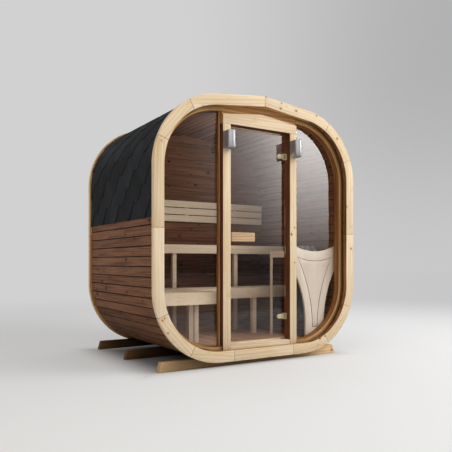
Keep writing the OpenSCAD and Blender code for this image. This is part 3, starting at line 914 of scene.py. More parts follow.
@dataclass
class Softened:
    """Solid parts of the frame with their edges rounded over, some with painted shade on chosen faces.
    """

    name: str
    nodes: tuple[str, ...]
    finish: Finish
    edge: float = 0.002
    body: Body = Body.CABIN
    follow: Optional[Callable[[np.ndarray], np.ndarray]] = None
    seed: int = 1
    # Finishes with painted light or shade, each with the test that picks its faces
    painted_shade_marks: tuple[tuple[Finish, Callable[[Vector, Vector], bool]], ...] = ()
    # Gives the painted shade of a point, if any
    in_seam: Optional[Callable[[Vector], float]] = None

    def build(self) -> bpy.types.Object:
        """Copies the nodes, rounds their sharp edges and lays the grain.

        Returns:
            The piece.
        """
        work = bmesh.new()
        for node in self.nodes:
            work.from_mesh(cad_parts[node].data)
        bmesh.ops.remove_doubles(work, verts=work.verts, dist=MERGE / 2)
        work = self.rounded(work)
        tidy(work, smooth_below=35.0)
        # Faces that a test picks take a copy of the finish with painted light or shade
        for face in work.faces:
            middle = face.calc_center_median()
            for k, (_, holds) in enumerate(self.painted_shade_marks):
                if holds(middle, face.normal):
                    face.material_index = k + 1
        mesh = bpy.data.meshes.new(self.name)
        work.to_mesh(mesh)
        work.free()
        lay_grain(mesh, self.seed, self.follow)
        if self.in_seam:
            lay_shade(mesh, self.in_seam)
        for finish in (self.finish, *(shade_finish for shade_finish, _ in self.painted_shade_marks)):
            mesh.materials.append(finish.made())
        return place_piece(mesh, self.name, self.finish, self.body, self.nodes)

    def rounded(self, work: bmesh.types.BMesh) -> bmesh.types.BMesh:
        """Rounds the sharp edges, on joined faces where that keeps the shape.

        Args:
            work: the mesh, which is used up.

        Returns:
            The rounded mesh, or the plain one where rounding would spoil it.
        """
        area = sum(face.calc_area() for face in work.faces)
        for join in (True, False):
            trial = work.copy()
            if join:
                bmesh.ops.dissolve_limit(
                    trial, angle_limit=FLAT_ANGLE, verts=trial.verts, edges=trial.edges
                )
            sharp = [
                e for e in trial.edges
                if len(e.link_faces) == 2 and e.calc_face_angle(0) > SHARP_ANGLE
            ]
            bmesh.ops.bevel(
                trial, geom=sharp, offset=self.edge, offset_type="OFFSET", segments=2, profile=0.5,
                affect="EDGES", clamp_overlap=True,
            )
            split = trial.copy()
            bmesh.ops.triangulate(split, faces=split.faces)
            change = sum(face.calc_area() for face in split.faces) / area - 1
            split.free()
            if AREA_CHANGE[0] < change < AREA_CHANGE[1]:
                work.free()
                return trial
            LOG.info("%s: rounding left out, area %+.3f, join %s", self.name, change, join)
            trial.free()
        return work


@dataclass
class Tree:
    """A geometry tree with named inputs, run once on a mesh."""

    name: str
    sockets: dict[str, str]

    def __post_init__(self) -> None:
        """Makes the empty tree with its sockets."""
        self.group = bpy.data.node_groups.new(self.name, "GeometryNodeTree")
        for label, kind in self.sockets.items():
            self.group.interface.new_socket(label, in_out="INPUT", socket_type=f"NodeSocket{kind}")
        self.group.interface.new_socket("Result", in_out="OUTPUT", socket_type="NodeSocketGeometry")
        self.graph = Graph(self.group)
        self.given = self.graph.add("NodeGroupInput").outputs

    def joined(self, *parts: bpy.types.Node) -> Socket:
        """Joins the geometry of nodes.

        Args:
            *parts: the nodes.

        Returns:
            The joined geometry.
        """
        both = self.graph.add("GeometryNodeJoinGeometry")
        for part in parts:
            self.group.links.new(part.outputs[0], both.inputs[0])
        return both.outputs[0]

    def close(self, geometry: Socket) -> None:
        """Ends the tree in Realize Instances and Set Material.

        Args:
            geometry: what the tree has made.
        """
        real = self.graph.add("GeometryNodeRealizeInstances", Geometry=geometry)
        dressed = self.graph.add(
            "GeometryNodeSetMaterial", Geometry=real.outputs[0], Material=self.given["Material"]
        )
        self.graph.add("NodeGroupOutput", i0=dressed.outputs[0])

    def run(self, mesh: bpy.types.Mesh, **values: object) -> bpy.types.Mesh:
        """Runs the tree on a mesh and returns the plain result.

        Args:
            mesh: the mesh that the tree starts from, used up here.
            **values: the inputs by name, with _ for a space.

        Returns:
            The new mesh.
        """
        source = new_object(self.name, mesh)
        modifier = source.modifiers.new(self.name, "NODES")
        modifier.node_group = self.group
        for item in self.group.interface.items_tree:
            key = item.name.replace(" ", "_")
            if item.in_out == "INPUT" and key in values:
                modifier[item.identifier] = values[key]
        graph = bpy.context.evaluated_depsgraph_get()
        result = bpy.data.meshes.new_from_object(source.evaluated_get(graph), depsgraph=graph)
        source.modifiers.remove(modifier)
        bpy.data.objects.remove(source)
        bpy.data.meshes.remove(mesh)
        result.materials.clear()
        result.materials.append(values["Material"])
        work = bmesh.new()
        work.from_mesh(result)
        for face in work.faces:
            face.material_index = 0
        tidy(work)
        work.to_mesh(result)
        work.free()
        return result


class BoardTree(Tree):
    """Boards drawn out of their sections."""

    def __init__(self) -> None:
        """Builds the tree: sections are pushed back by the length and closed."""
        super().__init__("boards from sections", {
            "Sections": "Geometry", "Length": "Float", "Material": "Material",
        })
        graph, given = self.graph, self.given
        back = graph.add("ShaderNodeCombineXYZ", Y=given["Length"])
        pushed = graph.add(
            "GeometryNodeExtrudeMesh", Mesh=given["Sections"], Offset=back.outputs[0],
            Offset_Scale=1.0, Individual=True,
        )
        front = graph.add("GeometryNodeFlipFaces", Mesh=given["Sections"])
        self.close(self.joined(pushed, front))


class ScatterTree(Tree):
    """One small shape on many points, turned and sized at random."""

    def __init__(self) -> None:
        """Builds the tree: the shape stands on every vertex."""
        super().__init__("shape on points", {
            "Points": "Geometry", "Shape": "Object", "Least": "Float", "Most": "Float",
            "Turn": "Float", "Seed": "Int", "Material": "Material",
        })
        graph, given = self.graph, self.given
        shape = graph.add("GeometryNodeObjectInfo", Object=given["Shape"])
        size = graph.add("FunctionNodeRandomValue", {"data_type": "FLOAT"}, Seed=given["Seed"])
        graph.put(size.inputs[2], given["Least"])
        graph.put(size.inputs[3], given["Most"])
        turn = graph.add("FunctionNodeRandomValue", {"data_type": "FLOAT_VECTOR"}, Seed=given["Seed"])
        top = graph.add("ShaderNodeCombineXYZ", X=given["Turn"], Y=given["Turn"], Z=given["Turn"])
        graph.put(turn.inputs[1], top.outputs[0])
        turned = graph.add("FunctionNodeEulerToRotation", i0=turn.outputs[0])
        placed = graph.add(
            "GeometryNodeInstanceOnPoints", Points=given["Points"],
            Instance=shape.outputs["Geometry"], Rotation=turned.outputs[0], Scale=size.outputs[1],
        )
        self.close(placed.outputs[0])


class WrapTree(Tree):
    """Flat shingles given their thickness and wrapped over a profile."""

    def __init__(self) -> None:
        """Builds the tree: x is the length along the profile, y the depth and z the height."""
        super().__init__("shingles over a profile", {
            "Shingles": "Geometry", "Profile": "Object", "Thickness": "Float", "Material": "Material",
        })
        graph, given = self.graph, self.given
        up = graph.add("ShaderNodeCombineXYZ", Z=given["Thickness"])
        thick = graph.add(
            "GeometryNodeExtrudeMesh", Mesh=given["Shingles"], Offset=up.outputs[0],
            Offset_Scale=1.0, Individual=False,
        )
        under = graph.add("GeometryNodeFlipFaces", Mesh=given["Shingles"])
        both = self.joined(thick, under)
        profile = graph.add("GeometryNodeObjectInfo", Object=given["Profile"])
        line = graph.add("GeometryNodeMeshToCurve", Mesh=profile.outputs["Geometry"])
        place = graph.parts(graph.add("GeometryNodeInputPosition").outputs[0])
        found = graph.add(
            "GeometryNodeSampleCurve", {"mode": "LENGTH", "use_all_curves": True},
            Curves=line.outputs[0], Length=place[0],
        )
        along = graph.parts(found.outputs["Tangent"])
        out = graph.add("ShaderNodeCombineXYZ", X=graph.calc("MULTIPLY", along[2], -1.0), Z=along[0])
        lift = graph.add(
            "ShaderNodeVectorMath", {"operation": "SCALE"}, Vector=out.outputs[0], Scale=place[2]
        )
        deep = graph.add("ShaderNodeCombineXYZ", Y=place[1])
        spot = graph.vector("ADD", found.outputs["Position"], lift.outputs[0])
        spot = graph.vector("ADD", spot, deep.outputs[0])
        moved = graph.add("GeometryNodeSetPosition", Geometry=both, Position=spot)
        self.close(moved.outputs[0])


def sections(name: str, polygons: Iterable[Sequence[Point]], y: float) -> bpy.types.Mesh:
    """Makes flat faces in a plane across the cabin, facing its back.

    Args:
        name: the mesh's name.
        polygons: the faces' corners, x and z.
        y: the plane's depth.

    Returns:
        The mesh.
    """
    points, faces = [], []
    for polygon in polygons:
        area = sum(a[0] * b[1] - b[0] * a[1] for a, b in zip(polygon, [*polygon[1:], polygon[0]]))
        ordered = list(polygon) if area < 0 else list(reversed(polygon))
        faces.append(list(range(len(points), len(points) + len(ordered))))
        points += [(x, y, z) for x, z in ordered]
    return mesh_from(name, points, faces)


@dataclass
class Shell:
    """The staves between the two end rings, with a groove at every seam."""

    pitch: float = 0.0813
    seam_z: float = 0.6558
    thick: float = 0.04
    groove: float = 0.003
    groove_depth: float = 0.009
    chamfer: float = 0.003
    tight: float = 0.00002
    narrowest: float = 0.03
    seed: int = 11

    def stave(self, start: float, end: float) -> list[Point]:
        """Draws the section of one stave.

        Args:
            start: length of its upper edge from the ridge.
            end: length of its lower edge.

        Returns:
            The corners, x and z.
        """
        skin, back = OUTLINE.skin, OUTLINE.skin + self.thick
        g, c, t, d = self.groove, self.chamfer, self.tight, self.groove_depth
        edge = [
            (g + c, skin), (g, skin + c), (g, skin + d), (t, skin + d),
            (t, back - d), (g, back - d), (g, back - c), (g + c, back),
        ]
        side = [OUTLINE.at(start + a, inset) for a, inset in edge]
        other = [OUTLINE.at(end - a, inset) for a, inset in edge]
        return side + other[::-1]

    def seams(self) -> list[float]:
        """Lists the lengths of one side's seams.

        Returns:
            The lengths from the ridge to the base.
        """
        runs = OUTLINE.runs()
        last = sum(runs[:Run.BASE])
        known = sum(runs[:Run.WALL]) + OUTLINE.upper_z - self.seam_z
        reach = math.ceil(last / self.pitch)
        lengths = [known + k * self.pitch for k in range(-reach, reach)]
        inner = [s for s in lengths if self.narrowest < s < last - self.narrowest]
        return [0.0, *inner, last]

    def base(self) -> list[list[Point]]:
        """Draws the sections of the base's staves.

        Returns:
            The corners of each, x and z.
        """
        half = OUTLINE.lower_flat
        count = round(2 * half / self.pitch)
        edges = [-half + 2 * half * k / count for k in range(count + 1)]
        return [[(a + x, z) for x, z in self.flat(b - a)] for a, b in zip(edges, edges[1:])]

    def build(self, tree: BoardTree) -> None:
        """Builds the two sides and the base.

        Args:
            tree: the tree that draws out the staves.
        """
        low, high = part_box("wall_left")
        seams = self.seams()
        right = [self.stave(a, b) for a, b in zip(seams, seams[1:])]
        left = [[(-x, z) for x, z in polygon] for polygon in right]
        solids = ("wall", "lower_corner", "upper_corner", "roof")
        for k, (name, polygons, nodes) in enumerate((
            ("shell_left", left, [f"{solid}_left" for solid in solids]),
            ("shell_right", right, [f"{solid}_right" for solid in solids]),
            ("shell_base", self.base(), ["base_staves"]),
        )):
            mesh = tree.run(
                sections(name, polygons, low.y), Length=high.y - low.y, Material=Finish.STAVE.made()
            )
            mesh.name = name
            lay_grain(mesh, self.seed + k)
            # Painted shade in the grooves between the staves
            lay_shade(mesh, self.in_seam)
            place_piece(mesh, name, Finish.STAVE, Body.CABIN, nodes)

    def in_seam(self, point: Vector) -> float:
        """Gives 1 for a point inside a groove, which gets painted shade, and 0 for one on the faces of
        a stave.
        """
        depth = OUTLINE.inset(point.x, point.z) - OUTLINE.skin
        return float(min(depth, self.thick - depth) > self.chamfer * SEAM_SHARE)

    def flat(self, width: float) -> list[Point]:
        """Draws the section of one stave of the base, from x = 0.

        Args:
            width: the stave's width.

        Returns:
            The corners, x and z.
        """
        skin = OUTLINE.base + OUTLINE.skin
        g, c, t, d = self.groove, self.chamfer, self.tight, self.groove_depth
        edge = [
            (g + c, 0.0), (g, c), (g, d), (t, d),
            (t, self.thick - d), (g, self.thick - d), (g, self.thick - c), (g + c, self.thick),
        ]
        return [(a, skin + z) for a, z in edge] + [(width - a, skin + z) for a, z in edge[::-1]]


@dataclass
class RearWall:
    """The boards of the rear wall, cut to the section of the shell."""

    pitch: float = 0.085
    gap: float = 0.00002
    edge: float = 0.0022
    steps: int = 5
    long: float = 0.2
    seed: int = 21

    def build(self, tree: BoardTree) -> None:
        """Builds the boards from below to the ridge.

        Args:
            tree: the tree that draws out the boards.
        """
        low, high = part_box("rear_wall")
        inset = OUTLINE.skin + Shell.thick
        polygons = []
        count = round((high.z - low.z) / self.pitch)
        for k in range(count):
            z0 = low.z + (high.z - low.z) * k / count + self.gap
            z1 = low.z + (high.z - low.z) * (k + 1) / count - self.gap
            levels = [z0 + (z1 - z0) * i / self.steps for i in range(self.steps + 1)]
            side = [(OUTLINE.half_width(z, inset), z) for z in levels]
            side = [(max(x, 0.0), z) for x, z in side]
            polygons.append(side + [(-x, z) for x, z in side[::-1] if x > 1e-6])
        mesh = tree.run(
            sections("rear_boards", polygons, low.y), Length=high.y - low.y,
            Material=Finish.STAVE.made(),
        )
        work = bmesh.new()
        work.from_mesh(mesh)
        level = [e for e in work.edges if max(map(abs, (e.verts[0].co - e.verts[1].co).yz)) < 1e-5]
        bmesh.ops.bevel(
            work, geom=[e for e in level if e.calc_length() > self.long], offset=self.edge, segments=1,
            affect="EDGES", clamp_overlap=True,
        )
        tidy(work)
        work.to_mesh(mesh)
        work.free()
        lay_grain(mesh, self.seed)
        # Painted shade in the grooves between the boards
        shallow = self.edge * SEAM_SHARE
        lay_shade(mesh, lambda point: float(min(point.y - low.y, high.y - point.y) > shallow))
        place_piece(mesh, "rear_boards", Finish.STAVE, Body.CABIN, ("rear_wall",))


@dataclass
class Roofing:
    """Six-sided felt shingles that lap over each other up to the ridge."""

    exposure: float = 0.133
    pitch: float = 0.32
    foot: float = 0.07
    flare: float = 0.09
    start_even: float = 0.07
    start_odd: float = -0.11
    lap: float = 0.032
    thick: float = 0.0022
    lift: float = 0.0062
    bed: float = 0.0004
    rows: int = 5
    reach: int = 4
    margin: float = 0.0005
    narrowest: float = 0.004
    bend_steps: int = 48
    sheet_steps: int = 60
    seed: int = 31

    def profile(self, edge_z: float) -> list[Point]:
        """Draws the line that the shingles of the left side follow.

        Args:
            edge_z: height of the lower edge of the roofing.

        Returns:
            Points on the skin up to the ridge, x and z.
        """
        roof, corner, *_ = OUTLINE.runs()
        start = roof + corner + OUTLINE.upper_z - edge_z
        bend = [roof + corner * k / self.bend_steps for k in range(self.bend_steps, -1, -1)]
        line = [OUTLINE.at(mark, OUTLINE.skin) for mark in (start, *bend, 0.0)]
        return [(-x, z) for x, z in line]

    def tab(self, s0: float, y0: float, top: float, front: float, back: float) -> tuple[list, list]:
        """Draws one shingle, cut off at the front, the back and the ridge.

        Args:
            s0: length of its lower edge.
            y0: depth of the front end of its lower edge.
            top: length of the ridge.
            front: least depth.
            back: greatest depth.

        Returns:
            The points, with the height in z, and the faces.
        """
        whole = 2 * self.exposure + self.lap
        upper = whole - self.exposure
        marks = [self.exposure * k / self.rows for k in range(self.rows + 1)]
        marks += [self.exposure + upper * k / self.rows for k in range(1, self.rows + 1)]
        marks = [m for m in marks if s0 + m < top - 1e-4]
        if s0 + whole > top:
            marks.append(top - s0)
        points, faces = [], []
        for m in marks:
            wide = min(m / self.exposure, 1.0) * self.flare
            a = max(front, y0 - wide)
            b = min(back, y0 + self.foot + wide)
            height = self.lift + (self.bed - self.lift) * m / whole
            for share in (0.0, 0.5, 1.0):
                points.append((s0 + m, a + (b - a) * share, height))
        for k in range(len(marks) - 1):
            for i in (0, 1):
                base = 3 * k + i
                faces.append((base, base + 3, base + 4, base + 1))
        return points, faces

    def flat_shingles(self, length: float, front: float, back: float) -> bpy.types.Mesh:
        """Lays out a starter sheet and the shingles of one side before they are bent.

        Args:
            length: length of the profile.
            front: least depth.
            back: greatest depth.

        Returns:
            The flat mesh.
        """
        steps = self.sheet_steps
        points = [(length * k / steps, y, 0.0) for k in range(steps + 1) for y in (front, back)]
        faces = [(2 * k, 2 * k + 2, 2 * k + 3, 2 * k + 1) for k in range(steps)]
        for course in range(math.ceil(length / self.exposure)):
            start = self.start_odd if course % 2 else self.start_even
            for k in range(-self.reach, self.reach + 1):
                y0 = start + k * self.pitch
                if y0 > back - self.narrowest or y0 + self.foot < front + self.narrowest:
                    continue
                some, sides = self.tab(course * self.exposure, y0, length, front, back)
                faces += [tuple(i + len(points) for i in f) for f in sides]
                points += some
        return mesh_from("shingles", points, faces)

    def build(self, tree: WrapTree) -> None:
        """Builds the shingles of the left side and mirrors them for the right one.

        Args:
            tree: the tree that bends the shingles over the profile.
        """
        low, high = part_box("cover_left")
        line = self.profile(low.z)
        length = sum(math.dist(a, b) for a, b in zip(line, line[1:]))
        profile = bpy.data.meshes.new("profile")
        links = [(k, k + 1) for k in range(len(line) - 1)]
        profile.from_pydata([(x, 0.0, z) for x, z in line], links, [])
        guide = new_object("profile", profile)
        flat = self.flat_shingles(length, low.y + self.margin, high.y - self.margin)
        mesh = tree.run(flat, Profile=guide, Thickness=self.thick, Material=Finish.SHINGLE.made())
        bpy.data.objects.remove(guide)
        for k, side in enumerate(("left", "right")):
            half = mesh.copy()
            half.name = f"shingles_{side}"
            if side == "right":
                half.transform(Matrix.Scale(-1, 4, (1, 0, 0)))
                half.flip_normals()
            lay_grain(half, self.seed + k)
            place_piece(half, half.name, Finish.SHINGLE, Body.CABIN, (f"cover_{side}",))


@dataclass
class Screws:
    """Sunk screw heads in the faces of the end rings."""

    radius: float = 0.0042
    spacing: float = 0.29
    first: float = 0.35
    stagger: float = 0.4
    insets: tuple[float, float] = (0.03, 0.062)
    height: float = 0.0012
    sunk: float = 0.0008
    seed: int = 5

    def head(self, facing: float) -> bpy.types.Object:
        """Makes a small round head with a bevelled rim.

        Args:
            facing: 1 where it looks to the front and -1 to the back.

        Returns:
            The head, as an object of its own.
        """
        work = bmesh.new()
        bmesh.ops.create_cone(
            work, cap_ends=True, segments=14, radius1=self.radius, radius2=self.radius * 0.8,
            depth=self.height,
        )
        turn = Matrix.Rotation(math.radians(90) * facing, 3, "X")
        bmesh.ops.rotate(work, verts=work.verts, matrix=turn)
        mesh = bpy.data.meshes.new("screw head")
        work.to_mesh(mesh)
        work.free()
        return new_object("screw head", mesh)

    def build(self, tree: ScatterTree) -> None:
        """Puts the heads on both rings.

        Args:
            tree: the tree that sets a shape on points.
        """
        count = int(sum(OUTLINE.runs()) / self.spacing)
        for end, facing in (("front", 1.0), ("rear", -1.0)):
            name = f"screws_{end}"
            low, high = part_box(f"{end}_ring")
            y = (low.y if facing > 0 else high.y) + self.sunk * facing
            points = []
            for k in range(count):
                for row, inset in enumerate(self.insets):
                    place = k + self.first + self.stagger * row
                    x, z = OUTLINE.at(place * self.spacing, inset)
                    points += [(x, y, z), (-x, y, z)]
            shape = self.head(facing)
            mesh = tree.run(
                mesh_from(name, points, []), Shape=shape, Least=0.9, Most=1.1, Turn=0.0, Seed=self.seed,
                Material=Finish.SCREW.made(),
            )
            bpy.data.objects.remove(shape)
            mesh.name = name
            place_piece(mesh, name, Finish.SCREW)


@dataclass
class Stones:
    """Rough stones heaped in the basket of the heater."""

    size: float = 0.036
    heap: float = 0.045
    sunk: float = 0.05
    levels: int = 5
    columns: int = 5
    rows: int = 4
    wobble: float = 0.006
    flats: int = 9
    flat_from: float = 0.72
    flat_share: float = 0.9
    full_turn: float = 6.28
    seed: int = 8
    grain_seed: int = 41

    def rock(self) -> bpy.types.Object:
        """Makes one rough stone, a ball with flats knocked off it.

        Returns:
            The stone, as an object of its own.
        """
        work = bmesh.new()
        bmesh.ops.create_icosphere(work, subdivisions=2, radius=1.0)
        lots = random.Random(self.seed)
        knocks = [
            Vector([lots.uniform(-1, 1) for _ in range(3)]).normalized() for _ in range(self.flats)
        ]
        for vert in work.verts:
            for knock in knocks:
                over = vert.co.dot(knock) - self.flat_from
                if over > 0:
                    vert.co -= knock * over * self.flat_share
        mesh = bpy.data.meshes.new("stone")
        work.to_mesh(mesh)
        work.free()
        return new_object("stone", mesh)

    def spots(self) -> list[Triple]:
        """Places the stones in levels that draw in above the basket's rim.

        Returns:
            The stones' middles.
        """
        low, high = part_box("heater_stones")
        lots = random.Random(self.seed)
        middle = (low + high) / 2
        wide, deep = (high.x - low.x) / 2 - self.size, (high.y - low.y) / 2 - self.size
        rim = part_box("heater")[1].z
        top = high.z + self.heap
        spots = []
        for level in range(self.levels):
            z = rim - self.sunk + level * (top - rim + self.sunk - self.size) / (self.levels - 1)
            shrink = 1.0 - 0.5 * max(0.0, (z - rim) / (top - rim))
            nx, ny = max(2, round(self.columns * shrink)), max(2, round(self.rows * shrink))
            for i in range(nx):
                for j in range(ny):
                    x = middle.x + wide * shrink * (2 * i / (nx - 1) - 1)
                    y = middle.y + deep * shrink * (2 * j / (ny - 1) - 1)
                    shift = [lots.uniform(-self.wobble, self.wobble) * shrink for _ in range(2)]
                    spots.append((x + shift[0], y + shift[1], z))
        return spots

    def build(self, tree: ScatterTree) -> None:
        """Fills the basket and heaps the stones above its rim.

        Args:
            tree: the tree that sets a shape on points.
        """
        shape = self.rock()
        mesh = tree.run(
            mesh_from("stones", self.spots(), []), Shape=shape, Least=self.size * 0.8,
            Most=self.size * 0.98, Turn=self.full_turn, Seed=self.seed, Material=Finish.STONE.made(),
        )
        bpy.data.objects.remove(shape)
        mesh.name = "stones"
        lay_grain(mesh, self.grain_seed)
        place_piece(mesh, "stones", Finish.STONE, Body.CABIN, ("heater_stones",))


@dataclass
class Joinery:
    """The timber parts whose shape comes from the frame, with softened edges and painted shade on some
    faces.
    """

    ring_edge: float = 0.003
    bearer_edge: float = 0.003
    board_edge: float = 0.0025
    slim_edge: float = 0.002
    threshold_edge: float = 0.004
    screen_edge: float = 0.0004
    pull_edge: float = 0.003
    seed: int = 50
    pull_seed: int = 80
    # Inset up to which a window frame has painted shade next to the ring, and the width over which it
    # fades
    shade_ends: float = 0.114
    shade_width: float = 0.014

    def parts(self) -> list[Softened]:
        """Lists the timber pieces with their finishes.

        Returns:
            The pieces, not built yet.
        """
        ring, bearer, board, slim = self.ring_edge, self.bearer_edge, self.board_edge, self.slim_edge
        sill, screen = self.threshold_edge, self.screen_edge
        pine, bench = Finish.PINE, Finish.BENCH
        bent = along_outline
        # Painted shade and light: darker or lighter copies of the pine on side faces, undersides, the
        # sill's lower edge, the ring's inner side and joints, the frames' sides, the beads and the
        # screen's groove
        side = ((Finish.AMBER, faces_sideways),)
        painted_dark_sides = ((Finish.REVEAL, faces_sideways),)
        painted_side_and_under_shade = ((Finish.AMBER, faces_sideways), (Finish.REVEAL, faces_down))
        painted_sill_shadow = ((Finish.REVEAL, faces_down),)
        rear_painted_shade = ((Finish.AMBER, faces_front), (Finish.SEAM, faces_joint))
        ring_painted_shade = (
            (Finish.AMBER, faces_inwards), (Finish.UMBER, faces_shaded), (Finish.SEAM, faces_joint),
        )
        frame_painted_side_shade = ((Finish.UMBER, faces_sideways),)
        painted_lit_front = ((Finish.HONEY, faces_front),)
        groove = ((Finish.SEAM, in_groove),)
        rows = [
            ("ring_front", "front_ring", pine, ring, None, ring_painted_shade),
            ("ring_rear", "rear_ring", pine, ring, None, rear_painted_shade),
            ("bearer_1", "bearer_front", Finish.BEARER, bearer, None),
            ("bearer_2", "bearer_middle", Finish.DAMP, bearer, None),
            ("bearer_3", "bearer_rear", Finish.DAMP, bearer, None),
            ("door_post_left", "post_left", pine, board, None, painted_dark_sides),
            ("door_post_right", "post_right", pine, board, None, painted_dark_sides),
            ("door_header", "header", pine, board, None, painted_side_and_under_shade),
            ("gable_board", "head_board", Finish.HONEY, board, None, side),
            ("door_threshold", "threshold", pine, sill, None, painted_sill_shadow),
            ("window_frame_left", "frame_left", Finish.HONEY, slim, bent, frame_painted_side_shade, self.shade_by_ring),
            ("window_frame_right", "frame_right", Finish.HONEY, slim, bent, frame_painted_side_shade, self.shade_by_ring),
            ("window_bead_left", "bead_left", Finish.UMBER, slim, bent, painted_lit_front),
            ("window_bead_right", "bead_right", Finish.UMBER, slim, bent, painted_lit_front),
            ("floor_joists", "floor_battens", bench, slim, None),
            ("floor_deck", "floor_boards", Finish.DECK, board, None),
            ("seat_upper", "upper_bench", bench, board, None),
            ("seat_upper_frame", "upper_bench_frame", bench, slim, None),
            ("seat_lower", "lower_bench", bench, board, None),
            ("seat_lower_frame", "lower_bench_frame", bench, slim, None),
            ("seat_back", "backrest", bench, board, None),
            ("heater_screen", "guard_panel", Finish.GUARD, screen, None, groove),
            ("heater_rail", "guard_rails", bench, slim, None),
        ]
        return [
            Softened(name, (node,), finish, edge, Body.CABIN, follow, self.seed + k, *marks)
            for k, (name, node, finish, edge, follow, *marks) in enumerate(rows)
        ]

    def shade_by_ring(self, point: Vector) -> float:
        """Gives the painted shade of a window frame, which is darkest where it meets the ring."""
        inside = self.shade_ends - OUTLINE.inset(point.x, point.z)
        return min(1.0, max(0.0, inside / self.shade_width))

    def build(self) -> None:
        """Builds every timber piece and the door's handle."""
        for part in self.parts():
            part.build()
        Softened(
            "door_pull", ("door_handle",), Finish.ALDER, self.pull_edge, Body.DOOR, seed=self.pull_seed
        ).build()


@dataclass
class Fittings:
    """Glass, hinges, lamps and the heater's body."""

    hinge_edge: float = 0.001
    lamp_edge: float = 0.0008
    heater_edge: float = 0.002

    def build(self) -> None:
        """Dresses the glass and softens the metal parts."""
        for node in ("glass_left", "glass_right", "door_glass"):
            self.dress(node, Finish.GLASS)
        self.dress("hinge_brackets", Finish.BRASS)
        Softened("hinge_plates", ("hinge_clamps",), Finish.BRASS, self.hinge_edge, Body.DOOR).build()
        for side in ("left", "right"):
            Softened(f"lamp_shade_{side}", (f"lamp_{side}",), Finish.ALUMINIUM, self.lamp_edge).build()
        Softened("heater_body", ("heater",), Finish.IRON, self.heater_edge).build()

    def dress(self, node: str, finish: Finish) -> None:
        """Gives a node of the frame a finish and leaves its shape.

        Args:
            node: the node.
            finish: its finish.
        """
        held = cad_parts[node]
        if not held.material_slots:
            held.data.materials.append(None)
        for slot in held.material_slots:
            slot.material = finish.made()
        LOG.info("%s: dressed in %s", node, finish.value.name)


@dataclass(frozen=True)
class Camera:
    """The camera, which stands where the picture was taken from."""

    spot: Triple = (-2.757, -4.534, 0.856)
    turn: float = math.radians(-32.1)
    focal_px: float = 547.5
    picture_px: float = 452.0
    sensor: float = 36.0
    shift_px: float = 36.0

    @property
    def right(self) -> Triple:
        """The direction to the right of the picture."""
        return math.cos(self.turn), math.sin(self.turn), 0.0

    def place(self) -> None:
        """Puts the camera up and makes it the scene's."""
        data = bpy.data.cameras.new("camera")
        data.sensor_width = self.sensor
        data.lens = self.focal_px / self.picture_px * self.sensor
        data.shift_y = self.shift_px / self.picture_px
        camera = bpy.data.objects.new("camera", data)
        camera.location = self.spot
        camera.rotation_euler = (math.radians(90), 0, self.turn)
        bpy.context.scene.collection.objects.link(camera)
        bpy.context.scene.camera = camera


CAMERA = Camera()
BACKDROP = srgb(209, 209, 209)


@dataclass(frozen=True)
class Floor:
    """A pale round floor that goes over into the backdrop far out, with a painted shadow below the
    cabin.
    """

    colour: Colour = srgb(229, 229, 229)
    radius: float = 40.0
    corners: int = 64
    # Where the painted shadow below the cabin lies and how dark it is
    middle_x: float = -0.1
    shade_half_w: float = 0.95
    shade_half_d: float = 0.72
    shade_tone: float = 0.3
    own_glow: float = 0.34
    mirrored_tone: float = 0.4
    far: Point = (2.8, 9.0)

    def lay(self) -> None:
        """Lays the floor."""
        angles = np.linspace(0, 2 * math.pi, self.corners + 1)[:-1]
        ring = [(self.radius * math.cos(a), self.radius * math.sin(a), 0.0) for a in angles]
        floor = new_object("studio_floor", mesh_from("studio_floor", ring, [list(range(self.corners))]))
        floor.data.materials.append(self.finish())

    def finish(self) -> bpy.types.Material:
        """Builds the floor's material, which glows a little for the camera.

        Returns:
            The material.
        """
        made, graph, shader, output = material("studio floor")
        place, path = graph.place(), graph.light_path()
        # Painted shadow below the cabin: the floor is darker there and has no glow
        clear = self.outside_painted_shadow(graph, place)
        under = toned(self.colour, self.shade_tone)
        spots = graph.noise(place, 3.0, 3.0)
        graph.put(shader.inputs["Base Color"], graph.blend(clear, under, self.colour))
        graph.put(shader.inputs["Roughness"], graph.span(spots, 0.3, 0.7, 0.8, 0.95))
        side = graph.vector("DOT_PRODUCT", place, CAMERA.right)
        glow = graph.glow(self.colour, graph.span(side, -3.5, 2.5, 0.78, 1.22))
        seen = graph.calc("MULTIPLY", clear, self.own_glow)
        seen = graph.calc("MULTIPLY", path["Is Camera Ray"], seen)
        near = graph.mix(seen, shader.outputs[0], glow)
        mirrored = toned(self.colour, self.mirrored_tone)
        dull = graph.add("ShaderNodeBsdfDiffuse", Color=mirrored)
        near = graph.mix(path["Is Glossy Ray"], near, dull.outputs[0])
        from_eye = graph.vector("NORMALIZE", graph.vector("SUBTRACT", place, CAMERA.spot))
        turned = graph.vector("DOT_PRODUCT", from_eye, CAMERA.right)
        horizon = graph.glow(BACKDROP, graph.span(turned, -0.1, 0.36, 1.0, 0.898))
        away = graph.span(graph.vector("LENGTH", place), *self.far, 0.0, 1.0)
        amount = graph.calc("MULTIPLY", away, path["Is Camera Ray"])
        graph.put(output.inputs["Surface"], graph.mix(amount, near, horizon))
        return made

    def outside_painted_shadow(self, graph: Graph, place: Socket) -> Socket:
        """Tells the floor below the cabin, which gets a painted shadow, from the floor around it.

        Args:
            graph: the material's graph.
            place: the object coordinates.

        Returns:
            0 below the cabin, and 1 from a little outside on.
        """
        centred = graph.vector("ADD", place, (-self.middle_x, 0.0, 0.0))
        sides = graph.parts(graph.vector("ABSOLUTE", centred))
        out = graph.calc(
            "MAXIMUM",
            graph.calc("SUBTRACT", sides[0], self.shade_half_w),
            graph.calc("SUBTRACT", sides[1], self.shade_half_d),
        )
        return graph.span(out, -0.25, 0.2, 0.0, 1.0)


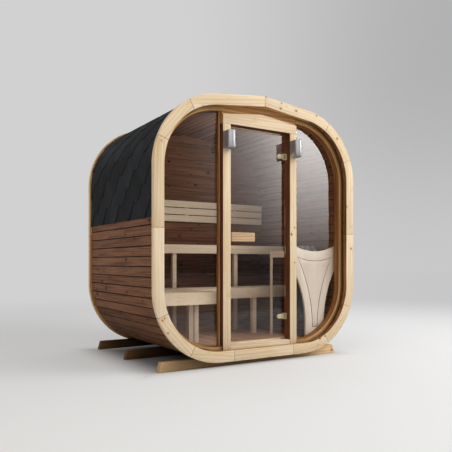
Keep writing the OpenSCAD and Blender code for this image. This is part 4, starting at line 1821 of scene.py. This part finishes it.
@dataclass(frozen=True)
class Softbox:
    """A glowing rectangle that looks at the cabin and shows only in its light."""

    name: str
    spot: Triple
    half_w: float
    half_h: float
    strength: float
    colour: Colour
    aim: Triple = (0.2, -0.4, 1.0)

    def hang(self) -> None:
        """Hangs the softbox."""
        w, h = self.half_w, self.half_h
        corners = [(-w, -h, 0), (w, -h, 0), (w, h, 0), (-w, h, 0)]
        box = new_object(self.name, mesh_from(self.name, corners, [(0, 1, 2, 3)]))
        aim = Vector(self.aim) - Vector(self.spot)
        turn = aim.to_track_quat("Z", "Y").to_matrix().to_4x4()
        box.matrix_world = Matrix.Translation(self.spot) @ turn
        made, graph, _, output = material(self.name)
        graph.put(output.inputs["Surface"], graph.glow(self.colour, self.strength))
        box.data.materials.append(made)
        box.visible_camera = box.visible_glossy = box.visible_transmission = False


@dataclass(frozen=True)
class InnerLamp:
    """A weak lamp that lights the seats, as the light in the picture does."""

    spot: Triple = (0.0, -0.45, 1.8)
    tilt: float = math.radians(69)
    width: float = 0.6
    height: float = 0.54
    watts: float = 3.2
    colour: Colour = (1.0, 0.95, 0.87)

    def place(self) -> None:
        """Puts the lamp up inside the cabin, out of sight."""
        light = bpy.data.lights.new("inner lamp", "AREA")
        light.shape, light.size, light.size_y = "RECTANGLE", self.width, self.height
        light.energy, light.color = self.watts, self.colour
        lamp = bpy.data.objects.new("inner lamp", light)
        lamp.location = self.spot
        lamp.rotation_euler = (self.tilt, 0, 0)
        lamp.visible_camera = lamp.visible_glossy = lamp.visible_transmission = False
        bpy.context.scene.collection.objects.link(lamp)


@dataclass(frozen=True)
class Card:
    """A graded card that shows only in the glass and the metal."""

    depth: float = -4.5
    left: float = 0.9
    right: float = 7.5
    foot: float = 0.02
    top: float = 5.5
    strength: float = 10.2
    blurred_share: float = 0.35
    colour: Colour = (1.0, 0.98, 0.97)

    def hang(self) -> None:
        """Hangs the card, brighter towards its right and its top."""
        corners = [(x, self.depth, self.foot) for x in (self.left, self.right)]
        corners += [(x, self.depth, self.top) for x in (self.right, self.left)]
        card = new_object("card", mesh_from("card", corners, [(0, 1, 2, 3)]))
        made, graph, _, output = material("card")
        parts = graph.parts(graph.place())
        across = graph.calc("POWER", graph.ramp(parts[0], 0.7, 3.7, 0.0, 1.0), 2.3)
        upwards = graph.calc("POWER", graph.ramp(parts[2], 0.8, 3.1, 0.04, 1.0), 1.3)
        share = graph.ramp(graph.light_path()["Is Singular Ray"], 0.0, 1.0, self.blurred_share, 1.0)
        strength = graph.calc("MULTIPLY", graph.calc("MULTIPLY", across, upwards), self.strength)
        strength = graph.calc("MULTIPLY", strength, share)
        graph.put(output.inputs["Surface"], graph.glow(self.colour, strength))
        card.data.materials.append(made)
        card.visible_camera = card.visible_diffuse = card.visible_transmission = False
        card.visible_shadow = False


@dataclass(frozen=True)
class Surroundings:
    """Even light from all around, and the backdrop that camera and glass see."""

    strength: float = 0.4
    white: Colour = (1.0, 1.0, 1.0)

    def light(self) -> None:
        """Lights the world."""
        world = bpy.data.worlds.new("studio")
        bpy.context.scene.world = world
        world.use_nodes = True
        world.node_tree.nodes.clear()
        graph = Graph(world.node_tree)
        path = graph.light_path()
        way = graph.add("ShaderNodeTexCoord").outputs["Generated"]
        parts = graph.parts(way)
        dome = graph.calc("MULTIPLY", graph.span(parts[2], 0.0, 0.9, 0.3, 1.9), self.strength)
        lit = graph.mix(
            path["Is Glossy Ray"],
            self.shine(graph, self.white, dome),
            self.shine(graph, self.white, self.in_gloss(graph, parts[0], path)),
        )
        show = self.shine(graph, BACKDROP, self.graded(graph, way, parts[2]))
        bounced = graph.calc("ADD", path["Diffuse Depth"], path["Glossy Depth"])
        direct = graph.calc("LESS_THAN", bounced, 0.5)
        straight = graph.calc("MULTIPLY", path["Is Transmission Ray"], direct)
        seen = graph.calc("MAXIMUM", path["Is Camera Ray"], straight)
        graph.add("ShaderNodeOutputWorld", Surface=graph.mix(seen, lit, show))

    def shine(self, graph: Graph, colour: Colour, strength: Socket) -> Socket:
        """Returns a background of one colour."""
        return graph.add("ShaderNodeBackground", Color=colour, Strength=strength).outputs[0]

    def graded(self, graph: Graph, way: Socket, height: Socket) -> Socket:
        """Grades the backdrop, which is darker to the right and higher up.

        Args:
            graph: the world's graph.
            way: the direction looked in.
            height: its part upwards.

        Returns:
            The backdrop's strength.
        """
        across = graph.vector("DOT_PRODUCT", way, CAMERA.right)
        upper = graph.calc("MULTIPLY", graph.span(height, -0.02, 0.33, 0.0, 1.0), 0.21)
        darker = graph.calc("ADD", upper, 0.09)
        darker = graph.calc("MULTIPLY", darker, graph.span(across, -0.1, 0.36, 0.0, 1.0))
        return graph.calc("SUBTRACT", 1.0, darker)

    def in_gloss(self, graph: Graph, along: Socket, path: bpy.types.NodeOutputs) -> Socket:
        """Gives what gloss reflects, brighter on the left and dimmer in clear glass.

        Args:
            graph: the world's graph.
            along: the direction's part to the right of the cabin.
            path: what the rays are told by.

        Returns:
            The strength.
        """
        dim = graph.calc("SUBTRACT", 0.28, graph.calc("MULTIPLY", path["Is Singular Ray"], 0.19))
        side = graph.span(along, -0.2, 0.25, 1.0, 0.0)
        return graph.calc("ADD", graph.calc("MULTIPLY", side, 0.4), dim)


@dataclass(frozen=True)
class Studio:
    """The camera, the floor, the lamps and the surrounding light."""

    softboxes: tuple[Softbox, ...] = (
        Softbox("softbox_right", (4.2, -4.9, 5.2), 2.6, 2.3, 5.3, (1.0, 1.0, 1.0)),
        Softbox("softbox_left", (-5.0, -2.8, 4.4), 1.8, 1.8, 1.85, (1.0, 0.9, 0.76)),
        Softbox("softbox_front", (1.4, -6.4, 4.8), 1.8, 1.5, 1.9, (1.0, 0.955, 0.89)),
    )

    def build(self) -> None:
        """Sets up the whole studio."""
        CAMERA.place()
        Floor().lay()
        for box in self.softboxes:
            box.hang()
        InnerLamp().place()
        Card().hang()
        Surroundings().light()
        bpy.context.scene.view_settings.view_transform = "Standard"


def main() -> None:
    """Builds the cabin's pieces in order."""
    logging.basicConfig(level=logging.INFO, format="%(message)s")
    boards, scatter, wrap = BoardTree(), ScatterTree(), WrapTree()
    Studio().build()
    Shell().build(boards)
    RearWall().build(boards)
    Roofing().build(wrap)
    Joinery().build()
    Fittings().build()
    Screws().build(scatter)
    Stones().build(scatter)


if __name__ == "__main__":
    main()
